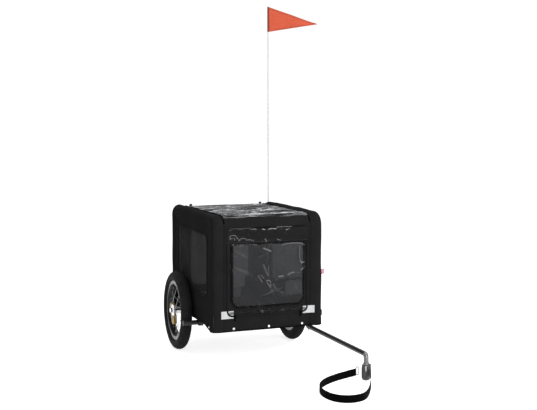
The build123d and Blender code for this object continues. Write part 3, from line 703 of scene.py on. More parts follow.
def two_tone(name, tint, bare, before):
    """A painted tube whose front end is bare steel, with a painted highlight on the steel inside the
    coupler: the paint ends at a distance along Y."""
    new = Finish(name, {"Specular IOR Level": 0.25}, 0.03)
    parts = new.add("ShaderNodeSeparateXYZ", {0: new.place}).outputs
    painted = new.ramp(parts[1], before - 0.0006, before + 0.0006)
    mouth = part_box("coupler")[1].z
    # painted highlight: the steel below the coupler's top is five times brighter
    steel = new.mix(new.ramp(parts[2], mouth - 0.001, mouth + 0.001), times(bare, 5), new.uneven(bare))
    new.feed({"Base Color": new.mix(painted, steel, new.uneven(tint)),
              "Metallic": new.math("SUBTRACT", 1.0, painted), "Roughness": new.grainy(0.24, 0.36)})
    return new.bump(new.fine, 0.0003, 0.4)


def rim_finish(name, tint, dark):
    """A rim whose sides are painted grey, and whose inner face, nearest the axle, is dark as painted
    shade.
    """
    new = Finish(name, {"Coat Weight": 0.15, "Coat Roughness": 0.15}, 0.03)
    parts = new.add("ShaderNodeSeparateXYZ", {0: new.place}).outputs
    sideways = [new.math("SUBTRACT", parts[axis], AXLE[axis]) for axis in (1, 2)]
    squares = [new.math("MULTIPLY", part, part) for part in sideways]
    reach = new.math("SQRT", new.math("ADD", *squares))
    # painted shade: the inner face nearest the axle takes the dark colour
    outside = new.ramp(reach, RIM_INNER + 0.0042, RIM_INNER + 0.0052)
    new.feed({"Base Color": new.mix(outside, dark, new.uneven(tint)),
              "Metallic": new.math("MULTIPLY", outside, 0.6), "Roughness": new.grainy(0.28, 0.42)})
    return new.bump(new.fine, 0.0003, 0.4)


def prism_finish(name, tint):
    """Clear amber plastic over a bed of small prisms, with painted shade along their borders and
    lighter middles.
    """
    new = Finish(name, {"Coat Weight": 0.1, "Coat Roughness": 0.1, "Specular IOR Level": 0.15}, 0.02)
    prism = new.effect("prisms", new.place, 260.0)
    amber_shade = times(tint, 0.45)
    # painted shade and highlight: darker at a prism's border and along a line there, lighter at its middle
    face = new.mix(new.ramp(prism["Height"], 0.0, 0.6), amber_shade, times(tint, 1.25))
    new.feed({"Base Color": new.mix(prism["Line"], face, amber_shade), "Roughness": new.grainy(0.12, 0.25)})
    return new.bump(prism["Height"], 0.0008)


def plain_finish(name, tint, rough, metal=0.0, coat=0.0, grain=0.0004, size=0.03, vary=0.15, gloss=0.5):
    """Moulded, painted or plated: uneven tone and gloss, and a fine grain in its height."""
    new = Finish(name, {"Metallic": metal, "Coat Weight": coat, "Coat Roughness": 0.12,
                        "Specular IOR Level": gloss}, size)
    new.feed({"Base Color": new.uneven(tint, vary),
              "Roughness": new.grainy(max(0.02, rough * 0.85), rough * 1.15)})
    return new.bump(new.fine, grain, 0.4)


FINISHES = {              # how each finish is made, with its colour setting and what differs from the usual
    "cloth": (cloth_finish, "Black cloth", "cloth", {}),
    "net": (net_finish, "Window net", "net", {}),
    "door net": (net_finish, "Door net", "net", {"open_cover": 0.93}),
    "roof film": (film_finish, "Roof film", "film", {"cover": 0.08, "veil": 0.16, "glint": 0.36,
                                                     "rough": 0.25}),
    "trim": (cloth_finish, "Trim tape", "trim", {"threads": 1500.0, "rough": 0.7}),
    "patch": (cloth_finish, "Reflective cloth", "patch", {"threads": 330.0, "rough": 0.4, "depth": 0.0003,
                                                          "vary": 0.12}),
    "snap": (plain_finish, "Snap", "snap", {"rough": 0.25, "coat": 0.4, "vary": 0.05}),
    "tab": (cloth_finish, "Tab cloth", "tab", {"threads": 1500.0}),
    "mat": (cloth_finish, "Mat cloth", "mat", {"threads": 500.0, "sheen": 0.2, "depth": 0.0006}),
    "board": (plain_finish, "Floor board", "plastic", {"rough": 0.6}),
    "plastic": (plain_finish, "Black plastic", "plastic", {"rough": 0.5, "size": 0.02, "gloss": 0.25}),
    "coupler": (plain_finish, "Grey plastic", "coupler", {"rough": 0.55, "size": 0.015, "vary": 0.2}),
    "paint": (plain_finish, "Black paint", "paint", {"rough": 0.36, "coat": 0.08, "gloss": 0.25}),
    "steel": (plain_finish, "Steel", "steel", {"rough": 0.3, "metal": 1.0}),
    "chrome": (plain_finish, "Chrome", "chrome", {"rough": 0.12, "metal": 1.0, "vary": 0.05}),
    "rubber": (plain_finish, "Tyre rubber", "tyre", {"rough": 0.8, "grain": 0.0006, "vary": 0.25,
                                                     "gloss": 0.1}),
    "reflector": (prism_finish, "Amber plastic", "reflector", {}),
    "strap": (cloth_finish, "Webbing", "strap", {"threads": 620.0, "rough": 0.7, "depth": 0.0005}),
    "flag": (cloth_finish, "Flag cloth", "flag", {"vary": 0.08, "gloss": 0.1}),
    "flag hem": (cloth_finish, "Flag hem", "flag_hem", {"vary": 0.08, "gloss": 0.1}),
    "flag sleeve": (cloth_finish, "Flag sleeve", "flag_sleeve", {"vary": 0.08, "gloss": 0.1}),
    "pole": (plain_finish, "Pole", "pole", {"rough": 0.3, "coat": 0.3, "vary": 0.03}),
}
MADE = {}


def finish(name):
    """A finish by name, made the first time that it is asked for."""
    if name not in MADE:
        tints = colours()
        if name == "cover film":
            # painted light: these darkened film tints are the light seen through the door's window and
            # reflected off the rain cover
            MADE[name] = film_finish("Rain cover film", times(tints.film, 0.035), cover=0.01, veil=0.60,
                                     glint=0.34, rough=0.25, gloss=0.06, reflection_tint=times(tints.film, 0.064))
        elif name == "thread":
            MADE[name] = plain_finish("Thread", times(tints.cloth, 1.6), 0.6)
        elif name == "rim":
            MADE[name] = rim_finish("Rim paint", tints.rim, tints.plastic)
        elif name == "drawbar":
            MADE[name] = two_tone("Drawbar paint", tints.paint, tints.bare, BARE_END)
        else:
            recipe, title, tint, values = FINISHES[name]
            MADE[name] = recipe(title, getattr(tints, tint), **values)
    return MADE[name]


def repaint(look, *nodes):
    """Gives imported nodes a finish."""
    for node in nodes:
        mesh = NODES[node].data
        mesh.materials.clear()
        mesh.materials.append(finish(look))


# ------------------------------------------------------------------ stitches and small solids
STITCH = lathe([[0.05, -0.5], [0.8, -0.38], [1.0, 0.0], [0.8, 0.38], [0.05, 0.5]], 6)
STITCH_RADIUS = 0.00035


def stitches(shape, path, up, closed=False):
    """Stitches laid along a path: one every pitch, two thirds of the pitch long."""
    pitch = sizes().stitch
    up = np.broadcast_to(up, path.shape)
    if closed:
        path, up = np.concatenate([path, path[:1]]), np.concatenate([up, up[:1]])
    along = distances(path)
    where = np.arange(pitch / 2, along[-1], pitch)

    def at(places, values):
        """Values along the path at some places on it."""
        return np.stack([np.interp(places, along, values[:, k]) for k in range(3)], -1)

    normal = at(where, up)
    axes = axes_from(at(where + 0.0005, path) - at(where - 0.0005, path), normal)
    size = np.array([STITCH_RADIUS, STITCH_RADIUS, pitch * 0.66])
    shape.copies((STITCH[0] * size, STITCH[1]), at(where, path) + normal * STITCH_RADIUS * 0.4, axes)


def bind(tapes, rows, points, normals, closed=False):
    """A tape along a line of points, sewn on by two rows of stitches."""
    path = slack(points, normals, 0.0004)
    sideways = np.cross(tangents(path, closed), normals)
    carry(tapes, path, sideways, normals, tape(sizes().binding, 0.0018), closed)
    for offset in (-TAPE_ROWS, TAPE_ROWS):
        stitches(rows, path + sideways * offset + normals * 0.0010, normals, closed)


# ------------------------------------------------------------------ pieces
class TRAILER_OT_stage(Operator):
    """Makes the floor, the pale surroundings, the lights and the camera"""

    bl_idname = "trailer.stage"
    bl_label = "Stage"

    def execute(self, context):
        scene = context.scene
        self.floor(scene)
        world = bpy.data.worlds.new("Surroundings")
        world.use_nodes = True
        scene.world = world
        nodes = Nodes(world.node_tree)
        ambient = 0.37
        strength = nodes.math("MULTIPLY_ADD", nodes.first_hit(), 1.0 - ambient, ambient)
        background = world.node_tree.nodes["Background"].inputs
        nodes.give(background["Strength"], strength)
        nodes.give(background["Color"], (1.0, 1.0, 1.0))

        middle = (CAD_LOW + CAD_HIGH) / 2
        aim = Vector((middle.x, middle.y, 0.3))
        for name, place, size, power in (("Overhead light", (0.3, -0.6, 3.0), 2.6, 46.0),
                                         ("Front light", (0.6, -3.2, 1.2), 2.0, 76.0),
                                         ("Left light", (3.0, 0.2, 1.8), 1.6, 16.0)):
            lamp = bpy.data.lights.new(name, "AREA")
            lamp.energy, lamp.size = power, size
            light = bpy.data.objects.new(name, lamp)
            light.location = (middle.x + place[0], middle.y + place[1], place[2])
            light.rotation_euler = (aim - light.location).to_track_quat("-Z", "Y").to_euler()
            scene.collection.objects.link(light)

        lens = bpy.data.cameras.new("camera")
        lens.sensor_width, lens.lens = 36.0, 67.94
        lens.shift_x, lens.shift_y = -0.0724, -0.126
        lens.clip_start, lens.clip_end = 0.1, 50.0
        camera = bpy.data.objects.new("camera", lens)
        camera.location = (-1.498, -3.1002, 0.8846)
        camera.rotation_euler = (math.pi / 2 - 0.017, 0.0, -0.392)
        scene.collection.objects.link(camera)
        scene.camera = camera
        scene.view_settings.view_transform = "Standard"
        return {"FINISHED"}

    def floor(self, scene):
        """A pale floor that looks white to the camera."""
        half = 20.0
        mesh = bpy.data.meshes.new("floor")
        mesh.from_pydata([(-half, -half, 0.0), (half, -half, 0.0), (half, half, 0.0), (-half, half, 0.0)],
                         [], [(0, 1, 2, 3)])
        floor = bpy.data.objects.new("floor", mesh)
        scene.collection.objects.link(floor)
        new = Finish("Floor", {"Roughness": 0.9, "Specular IOR Level": 0.0,
                               "Emission Color": (1.0, 1.0, 1.0)})
        grain = new.add("ShaderNodeTexNoise", {"Vector": new.place, "Scale": 3.0}).outputs[0]
        new.feed({"Base Color": new.mix(grain, (0.90, 0.90, 0.90), (0.93, 0.93, 0.93)),
                  "Emission Strength": new.math("MULTIPLY", new.first_hit(), 0.78)})
        mesh.materials.append(new.material)


STRAP_WIDTH, STRAP_THICKNESS = 0.025, 0.0024
STRAP_ROUTE = (           # control points of its middle line, from the coupler round to the ring
    (0.009, -0.0174, 0.0292), (-0.0135, -0.0665, 0.024), (-0.038, -0.115, 0.0165), (-0.066, -0.163, 0.0128),
    (-0.096, -0.208, 0.0128), (-0.124, -0.233, 0.0128), (-0.157, -0.241, 0.0128), (-0.189, -0.231, 0.0128),
    (-0.211, -0.205, 0.0128), (-0.220, -0.166, 0.0128), (-0.219, -0.120, 0.0128), (-0.206, -0.076, 0.0128),
    (-0.180, -0.036, 0.0128), (-0.144, -0.003, 0.0128), (-0.101, 0.024, 0.0128), (-0.055, 0.045, 0.0128),
    (-0.009, 0.064, 0.0128),
)


def smooth_route(points):
    """The strap's own smooth line: an order 3 NURBS spline with the route as its control points."""
    curve = bpy.data.curves.new("strap line", "CURVE")
    curve.dimensions = "3D"
    spline = curve.splines.new("NURBS")
    spline.points.add(len(points) - 1)
    for point, place in zip(spline.points, points):
        point.co = (*place, 1.0)
    spline.order_u = 3
    spline.use_endpoint_u = True
    spline.resolution_u = 12
    holder = bpy.data.objects.new("strap line", curve)
    bpy.context.scene.collection.objects.link(holder)
    graph = bpy.context.evaluated_depsgraph_get()
    mesh = bpy.data.meshes.new_from_object(holder.evaluated_get(graph))
    line = np.empty(len(mesh.vertices) * 3)
    mesh.vertices.foreach_get("co", line)
    bpy.data.objects.remove(holder)
    bpy.data.meshes.remove(mesh)
    return line.reshape(-1, 3)


class TRAILER_OT_strap(Operator):
    """Makes the safety strap, standing on its edge, with its sewn end"""

    bl_idname = "trailer.strap"
    bl_label = "Safety strap"

    def execute(self, context):
        line = smooth_route(STRAP_ROUTE)
        along = tangents(line)
        upright = axes_from(along)[:, 0]
        across = np.cross(upright, along)
        webbing = carry(Shape(), line, upright, across, tape(STRAP_WIDTH, STRAP_THICKNESS, 20, 0.25))
        strap = webbing.build("safety_strap", "strap", "drawbar", "webbing")
        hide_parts("strap")

        # the end is folded back round the ring and sewn
        beyond = distances(line) - distances(line)[-1]
        kept = beyond > -0.045
        fold = carry(Shape(), line[kept] + across[kept] * STRAP_THICKNESS * 0.8, upright[kept],
                     across[kept], tape(STRAP_WIDTH * 0.98, STRAP_THICKNESS, 20, 0.25))
        sewn = fold.build("strap_fold", "strap", "drawbar", "webbing")
        seams = Shape()
        for share in (-0.4, 0.4):
            for start in (-0.040, -0.022):
                inside = (beyond > start) & (beyond < start + 0.014)
                row = line[inside] + upright[inside] * share * STRAP_WIDTH
                stitches(seams, row + across[inside] * STRAP_THICKNESS * 1.3, across[inside])
        seams.build("strap_stitches", "thread", "drawbar", "webbing")
        return {"FINISHED"}


def middle_cloth(end):
    """The middle cloth of an end wall: rows of points from the door's outline to the seams, the
    skirt and the roof's edge."""
    heights = (0.0, UPRIGHT + QUARTER) if end == "front" else (GIRTH - UPRIGHT - QUARTER, GIRTH)
    edge = rounded((-SEAM, heights[0]), (SEAM, heights[1]), 0.0005, (44, 44, 44, 44))
    flat = between(node_outline(f"{end}_door", end, -0.0006), edge, 14)
    return sew(*on_wall(end, flat), flat, ring=True)


HEM_COUNTS = (9, 12, 2, 5, 2, 5, 9)
SIDE_STEPS = (sum(HEM_COUNTS) - 2 * CORNER_STEPS, 34, 44, 34)


def side_hem():
    """The side wall's lower edge as (y, z) points: it rises from both corners, and steps up over
    the wheel's knuckle."""
    inset, gap = sizes().edge_round, 0.0015
    low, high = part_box("wheel_knuckle_left")
    top, start, end = SKIRT + HEM_RISE, low.y - gap, high.y + gap
    turns = [(FRONT + inset, SKIRT), (FRONT + HEM_RUN, top), (start, top), (start, high.z + gap),
             (end, high.z + gap), (end, top), (REAR - HEM_RUN, top), (REAR - inset, SKIRT)]
    return np.concatenate([np.linspace(begin, stop, number, endpoint=False)
                           for begin, stop, number in zip(turns[:-1], turns[1:], HEM_COUNTS)])


def side_line():
    """Distances along the cabin's outline from the rear skirt back to the front skirt, in the
    sections that a side wall's ring of points has."""
    marks = (GIRTH, GIRTH - UPRIGHT, GIRTH - UPRIGHT - QUARTER, UPRIGHT + QUARTER, UPRIGHT, 0.0)
    counts = (SIDE_STEPS[1], CORNER_STEPS, SIDE_STEPS[2], CORNER_STEPS, SIDE_STEPS[3])
    return np.concatenate([np.linspace(begin, stop, number, endpoint=False)
                           for begin, stop, number in zip(marks[:-1], marks[1:], counts)])


TYRE_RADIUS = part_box("tyre_left")[1].z - AXLE.z


def proud(side, y, z, across=0.0):
    """How far a side's cloth stands out: most along the hoop's line at the wall's edges, falling to
    nothing 60 mm inside them or 26 mm across the end walls and roof, and nothing beside the tyre.
    The right side stands out less towards its front."""
    over = np.maximum(np.maximum(FRONT + EDGE - y, y - REAR + EDGE), 0)
    above = np.maximum(z - ROOF + EDGE, 0)
    inside = np.minimum(np.minimum(y - FRONT, REAR - y), ROOF - z)
    inside = np.where((over > 0) & (above > 0), EDGE - np.hypot(over, above), inside)
    clear = step_up(np.hypot(y - AXLE.y, z - AXLE.z), TYRE_RADIUS + 0.004, TYRE_RADIUS + 0.020)
    rise = (1 - step_up(inside, 0.014, 0.060)) * (1 - step_up(across, 0.0, 0.026)) * clear
    share = 1.0 if side == "left" else 0.15 + 0.85 * step_up(y, FRONT + 0.06, REAR - 0.12)
    return sizes().proud * rise * share


def proud_side(side, y, z):
    """Points on a side's cloth where it stands out, and their outward normals."""
    return side_skin(side, y, z, proud(side, y, z))


def side_cloth(side):
    """A side's cloth: from the window's outline to the hem and the rounded edge, over the edge's
    quarter round, and across the end walls and the roof to the seam."""
    window = node_outline(f"side_mesh_{side}", side, steps=SIDE_STEPS)
    radius = sizes().edge_round
    line = side_line()
    y, z, across, up = outline(line)
    inset = np.stack([y - across * radius, z - up * radius], -1)
    flat = between(window, np.concatenate([side_hem(), inset]), 18)
    shape = sew(*proud_side(side, flat[..., 0], flat[..., 1]), flat, ring=True)

    # quarter round and strip: turn goes from the side wall's plane to the end walls' and roof's
    line = np.append(line, 0.0)
    turn = np.linspace(0, math.pi / 2, 7)[:, None]
    reach = np.linspace(HALF - radius, SEAM, 8)[1:, None]
    x = np.concatenate([HALF - radius + radius * np.cos(turn), reach]) * sign_of(side)
    sink = np.concatenate([radius * (1 - np.sin(turn)), np.zeros_like(reach)])
    lean = np.concatenate([np.cos(turn), np.zeros_like(reach)])
    points, normals = skin(x, line[None], -sink + 0 * line)
    tilted = normals * np.sqrt(1 - lean ** 2)[..., None]
    tilted[..., 0] = sign_of(side) * lean
    strip = np.stack([line[None] + 0 * x, np.abs(x) + 0 * line], -1)
    y, z, across, up = outline(line)
    inward = radius * (1 - lean)
    rise = proud(side, y - across * inward, z - up * inward, np.maximum(HALF - radius - np.abs(x), 0))
    return sew(points + tilted * rise[..., None], tilted, strip, shape=shape)


class TRAILER_OT_walls(Operator):
    """Makes the cabin's sewn cloths: the middle one on each end wall and one over each side"""

    bl_idname = "trailer.walls"
    bl_label = "Cabin cloths"

    def execute(self, context):
        area = 2 * SEAM * (UPRIGHT + QUARTER)
        for end in ENDS:
            cloth = thicken(middle_cloth(end).build(f"{end}_cloth", "cloth"), sizes().cloth)
            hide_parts(f"{end}_panel")
            max(area - opening(f"{end}_door", end), 0.31 * area)
        strip = HALF - SEAM
        for side in SIDES:
            cloth = side_cloth(side).build(f"side_cloth_{side}", "cloth", merge=0.0001)
            thicken(cloth, sizes().cloth)
            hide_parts(f"side_panel_{side}")
            if side == "left":
                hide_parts("roof_panel")
            LENGTH * (ROOF - SKIRT) - opening(f"side_mesh_{side}", side) + GIRTH * strip
        return {"FINISHED"}


class TRAILER_OT_mat(Operator):
    """Makes the padded floor mat: a slab that a cloth simulation swells, with piping round it"""

    bl_idname = "trailer.mat"
    bl_label = "Floor mat"

    def execute(self, context):
        low, high = (np.array(end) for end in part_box("floor_mat"))
        middle, half = (low + high) / 2, (high - low) / 2 - np.array([0.007, 0.007, 0.001])
        slab = Shape().grid(middle + block(half, 36, 240, 0.25, 0.14, 0.6), wrap=(False, True))
        mat = slab.build("padded_mat", "mat", slot="mat", merge=0.00002)
        voxels = mat.modifiers.new("Even mesh", "REMESH")
        voxels.mode, voxels.voxel_size = "VOXEL", 0.005
        apply_modifiers(mat)
        self.swell(context.scene, mat, low, high)
        for face in mat.data.polygons:
            face.use_smooth = True
        smooth = mat.modifiers.new("Smooth", "SUBSURF")
        smooth.levels = smooth.render_levels = 1
        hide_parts("floor_mat")
        edge = rounded(low[:2] + 0.0035, high[:2] - 0.0035, 0.022, (40, 40, 40, 40))
        path = np.concatenate([edge, np.full((len(edge), 1), middle[2])], 1)
        sideways = np.cross(tangents(path, True), UP)
        piping = carry(Shape(), path, sideways, UP, circle(0.0026, 12), closed=True)
        piping.build("mat_piping", "trim", slot="mat")
        return {"FINISHED"}

    def swell(self, scene, mat, low, high):
        """The simulation's result, with no point moved over 5 mm or out of the mat's own space."""
        before = self.points_of(mat)
        cloth = mat.modifiers.new("Swell", "CLOTH")
        cloth.settings.use_pressure = True
        cloth.settings.uniform_pressure_force = 4.0
        cloth.settings.effector_weights.gravity = 0.0
        for number in range(1, 21):
            scene.frame_set(number)
        apply_modifiers(mat)
        scene.frame_set(1)
        moved = self.points_of(mat) - before
        length = np.linalg.norm(moved, axis=1, keepdims=True)
        points = before + moved * np.minimum(1.0, 0.005 / np.maximum(length, 1e-9))
        inset = np.array([0.001, 0.001, 0.0])
        points = np.clip(points, low + inset, high - inset)
        mat.data.vertices.foreach_set("co", points.astype(np.float32).ravel())
        mat.data.update()

    def points_of(self, mat):
        """The mesh's points."""
        points = np.empty(len(mat.data.vertices) * 3, np.float32)
        mat.data.vertices.foreach_get("co", points)
        return points.reshape(-1, 3).astype(float)


class TRAILER_OT_doors(Operator):
    """Makes the cloth of the two roll-up doors"""

    bl_idname = "trailer.doors"
    bl_label = "Door cloths"

    def execute(self, context):
        for end in ENDS:
            node, upward = f"{end}_door", 1 if end == "front" else -1
            door = node_outline(node, end)
            top = end_s(end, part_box(node)[1].z - HINGE_ROOM)
            door[:, 1] = np.minimum(door[:, 1] * upward, top * upward) * upward
            flat = between(node_outline(f"{end}_window", end), door, 9)
            cloth = sew(*on_wall(end, flat), flat, ring=True).build(f"{end}_door_cloth", "cloth", node)
            thicken(cloth, sizes().cloth)
            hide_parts(node)
            opening(node, end) - opening(f"{end}_window", end)
        return {"FINISHED"}


def panel_grid(low, high, rows, cols):
    """A plain grid between two corners, as (rows, cols, 2) points."""
    return np.stack(np.meshgrid(np.linspace(low[0], high[0], cols), np.linspace(low[1], high[1], rows)), -1)


def edge_distance(flat, low, high):
    """Distance from a rectangle's nearest edge."""
    return np.minimum(np.min(flat - low, axis=-1), np.min(high - flat, axis=-1))


def pressed(flat, low, high, radius):
    """Draws a rectangle's grid in to round corners: each point moves towards the middle by as much
    as its own rectangle's corner lies outside a rounded one."""
    middle, half = (low + high) / 2, (high - low) / 2
    offset = flat - middle
    ring = np.max(np.abs(offset) / half, axis=-1, keepdims=True)
    inner = np.maximum(half * ring - radius * ring, 0)
    beyond = np.maximum(np.abs(offset) - inner, 0)
    reach = np.linalg.norm(beyond, axis=-1, keepdims=True)
    limit = radius * ring
    share = np.where((reach > limit) & (limit > 0), limit / np.maximum(reach, 1e-9), 1.0)
    return middle + np.sign(offset) * (np.minimum(np.abs(offset), inner) + beyond * share)


class TRAILER_OT_windows(Operator):
    """Makes the net windows of the doors and sides"""

    bl_idname = "trailer.windows"
    bl_label = "Net windows"

    def execute(self, context):
        overlap = 0.004
        for wall in ENDS + SIDES:
            if wall in ENDS:
                name, node, body, look = f"{wall}_net", f"{wall}_window", f"{wall}_door", "door net"
            else:
                name, node, body, look = f"side_net_{wall}", f"side_mesh_{wall}", "chassis", "net"
            low, high = corners(node, wall)
            low, high = low - overlap, high + overlap
            flat = pressed(panel_grid(low, high, 60, 60), low, high, 0.022)
            net = sew(*on_wall(wall, flat, -sizes().cloth * 0.5), flat).build(name, look, body, "mesh")
            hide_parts(node)
        return {"FINISHED"}


def creased(flat, low, high, number, seed, long=0.09, spread=math.pi, wide=0.016):
    """Creases in film, as a height: straight ridges, each a sharp fold that fades along its length
    and to both sides, in scattered places, within spread of the first direction."""
    random = np.random.default_rng(seed)
    centre = low + (high - low) * random.random((number, 2))
    angle = (random.random(number) - 0.5) * spread
    length = long * (0.25 + random.random(number))
    width = 0.003 + wide * random.random(number) ** 2
    weight = random.normal(size=number)
    height = np.zeros(flat.shape[:-1])
    for k in range(number):
        offset = flat - centre[k]
        along = offset[..., 0] * math.cos(angle[k]) + offset[..., 1] * math.sin(angle[k])
        aside = offset[..., 1] * math.cos(angle[k]) - offset[..., 0] * math.sin(angle[k])
        height += weight[k] * np.exp(-np.abs(aside) / width[k] - (along / length[k]) ** 2)
    return height


FOLDS = (                 # width and strength of a fold in the rain cover, as height and as painted glint, then the line it runs along
    (0.0030, 0.35, (-0.148, 0.493), (-0.140, 0.494)),
    (0.0030, 0.50, (-0.112, 0.494), (-0.095, 0.494)),
    (0.0030, 0.50, (-0.066, 0.492), (-0.044, 0.492)),
    (0.0040, 0.80, (-0.021, 0.492), (-0.013, 0.490)),
    (0.0034, 0.95, (0.002, 0.490), (0.013, 0.493), (0.031, 0.491)),
    (0.0025, 0.30, (0.031, 0.491), (0.051, 0.489)),
    (0.0030, 0.65, (0.069, 0.486), (0.081, 0.489)),
    (0.0030, 0.50, (-0.145, 0.460), (-0.143, 0.470), (-0.138, 0.474), (-0.123, 0.473), (-0.116, 0.462),
     (-0.110, 0.454), (-0.103, 0.461), (-0.090, 0.462), (-0.082, 0.455), (-0.071, 0.456), (-0.055, 0.451)),
    (0.0030, 0.35, (-0.142, 0.457), (-0.136, 0.464), (-0.127, 0.462), (-0.128, 0.453)),
    (0.0050, 0.45, (-0.011, 0.455), (-0.007, 0.448)),
    (0.0030, 0.60, (0.036, 0.453), (0.047, 0.449)),
    (0.0025, 0.50, (-0.135, 0.440), (-0.127, 0.442), (-0.101, 0.438), (-0.086, 0.442), (-0.044, 0.436)),
    (0.0030, 0.90, (-0.136, 0.440), (-0.132, 0.438)),
    (0.0030, 0.60, (0.054, 0.431), (0.067, 0.434), (0.085, 0.436), (0.115, 0.436), (0.133, 0.434)),
    (0.0030, 0.80, (0.134, 0.432), (0.140, 0.428)),
    (0.0045, 0.85, (-0.017, 0.422), (-0.005, 0.417), (0.010, 0.411)),
    (0.0025, 0.50, (0.122, 0.424), (0.119, 0.403), (0.120, 0.386), (0.124, 0.371)),
    (0.0040, 1.00, (0.124, 0.369), (0.129, 0.363), (0.141, 0.366)),
    (0.0060, 0.35, (-0.018, 0.362), (-0.011, 0.347), (-0.007, 0.336), (0.001, 0.323)),
    (0.0040, 0.30, (0.001, 0.356), (0.002, 0.327)),
    (0.0040, 0.45, (-0.038, 0.324), (-0.031, 0.313), (-0.023, 0.301)),
    (0.0035, 0.40, (-0.028, 0.326), (-0.016, 0.314)),
    (0.0030, 0.90, (-0.006, 0.304), (0.002, 0.306), (0.010, 0.299)),
    (0.0040, 0.55, (-0.004, 0.298), (0.003, 0.287), (0.009, 0.280), (0.010, 0.291)),
    (0.0060, 0.30, (0.020, 0.290), (0.029, 0.273)),
    (0.0035, 1.00, (0.041, 0.317), (0.049, 0.317), (0.058, 0.318)),
    (0.0030, 0.20, (0.027, 0.304), (0.035, 0.309), (0.062, 0.310)),
    (0.0050, 0.60, (0.078, 0.322), (0.090, 0.328), (0.099, 0.329)),
    (0.0030, 0.20, (0.099, 0.329), (0.121, 0.328)),
    (0.0050, 0.60, (0.128, 0.337), (0.136, 0.342), (0.142, 0.348)),
)
REFLECTION_PANES = (                 # strength of a pane of painted reflection on the rain cover, its low and high corner, its softness
    (1.05, (-0.134, 0.2175), (0.134, 0.4375), 0.002),
    (1.15, (-0.130, 0.330), (-0.077, 0.440), 0.003),
    (0.90, (-0.105, 0.345), (-0.097, 0.432), 0.003),
    (0.90, (-0.130, 0.290), (-0.090, 0.333), 0.005),
    (0.55, (-0.130, 0.252), (-0.104, 0.295), 0.007),
    (0.75, (0.016, 0.310), (0.134, 0.434), 0.005),
    (0.55, (0.068, 0.396), (0.105, 0.424), 0.008),
    (1.10, (0.068, 0.250), (0.134, 0.300), 0.008),
)


def folded(flat, folds):
    """How strongly folds show, as height and as painted glints: a fold's strength times exp(-(distance to
    its line / half its width)^2), and the strongest fold counts."""
    shown = np.zeros(flat.shape[:-1])
    for width, strength, *line in folds:
        line = np.array(line)
        for start, end in zip(line[:-1], line[1:]):
            step = end - start
            share = np.clip((flat - start) @ step / (step @ step), 0, 1)
            away = np.linalg.norm(flat - start - share[..., None] * step, axis=-1)
            shown = np.maximum(shown, strength * np.exp(-(2 * away / width) ** 2))
    return shown


def painted_reflection(flat, panes):
    """How much painted reflection lies on the film: each pane is a soft-edged rectangle, and their
    strengths add up.
    """
    shown = np.zeros(flat.shape[:-1])
    for strength, low, high, soft in panes:
        inside = np.minimum(flat - low, high - flat)
        shown += strength * step_up(inside, -soft, soft).prod(-1)
    return shown


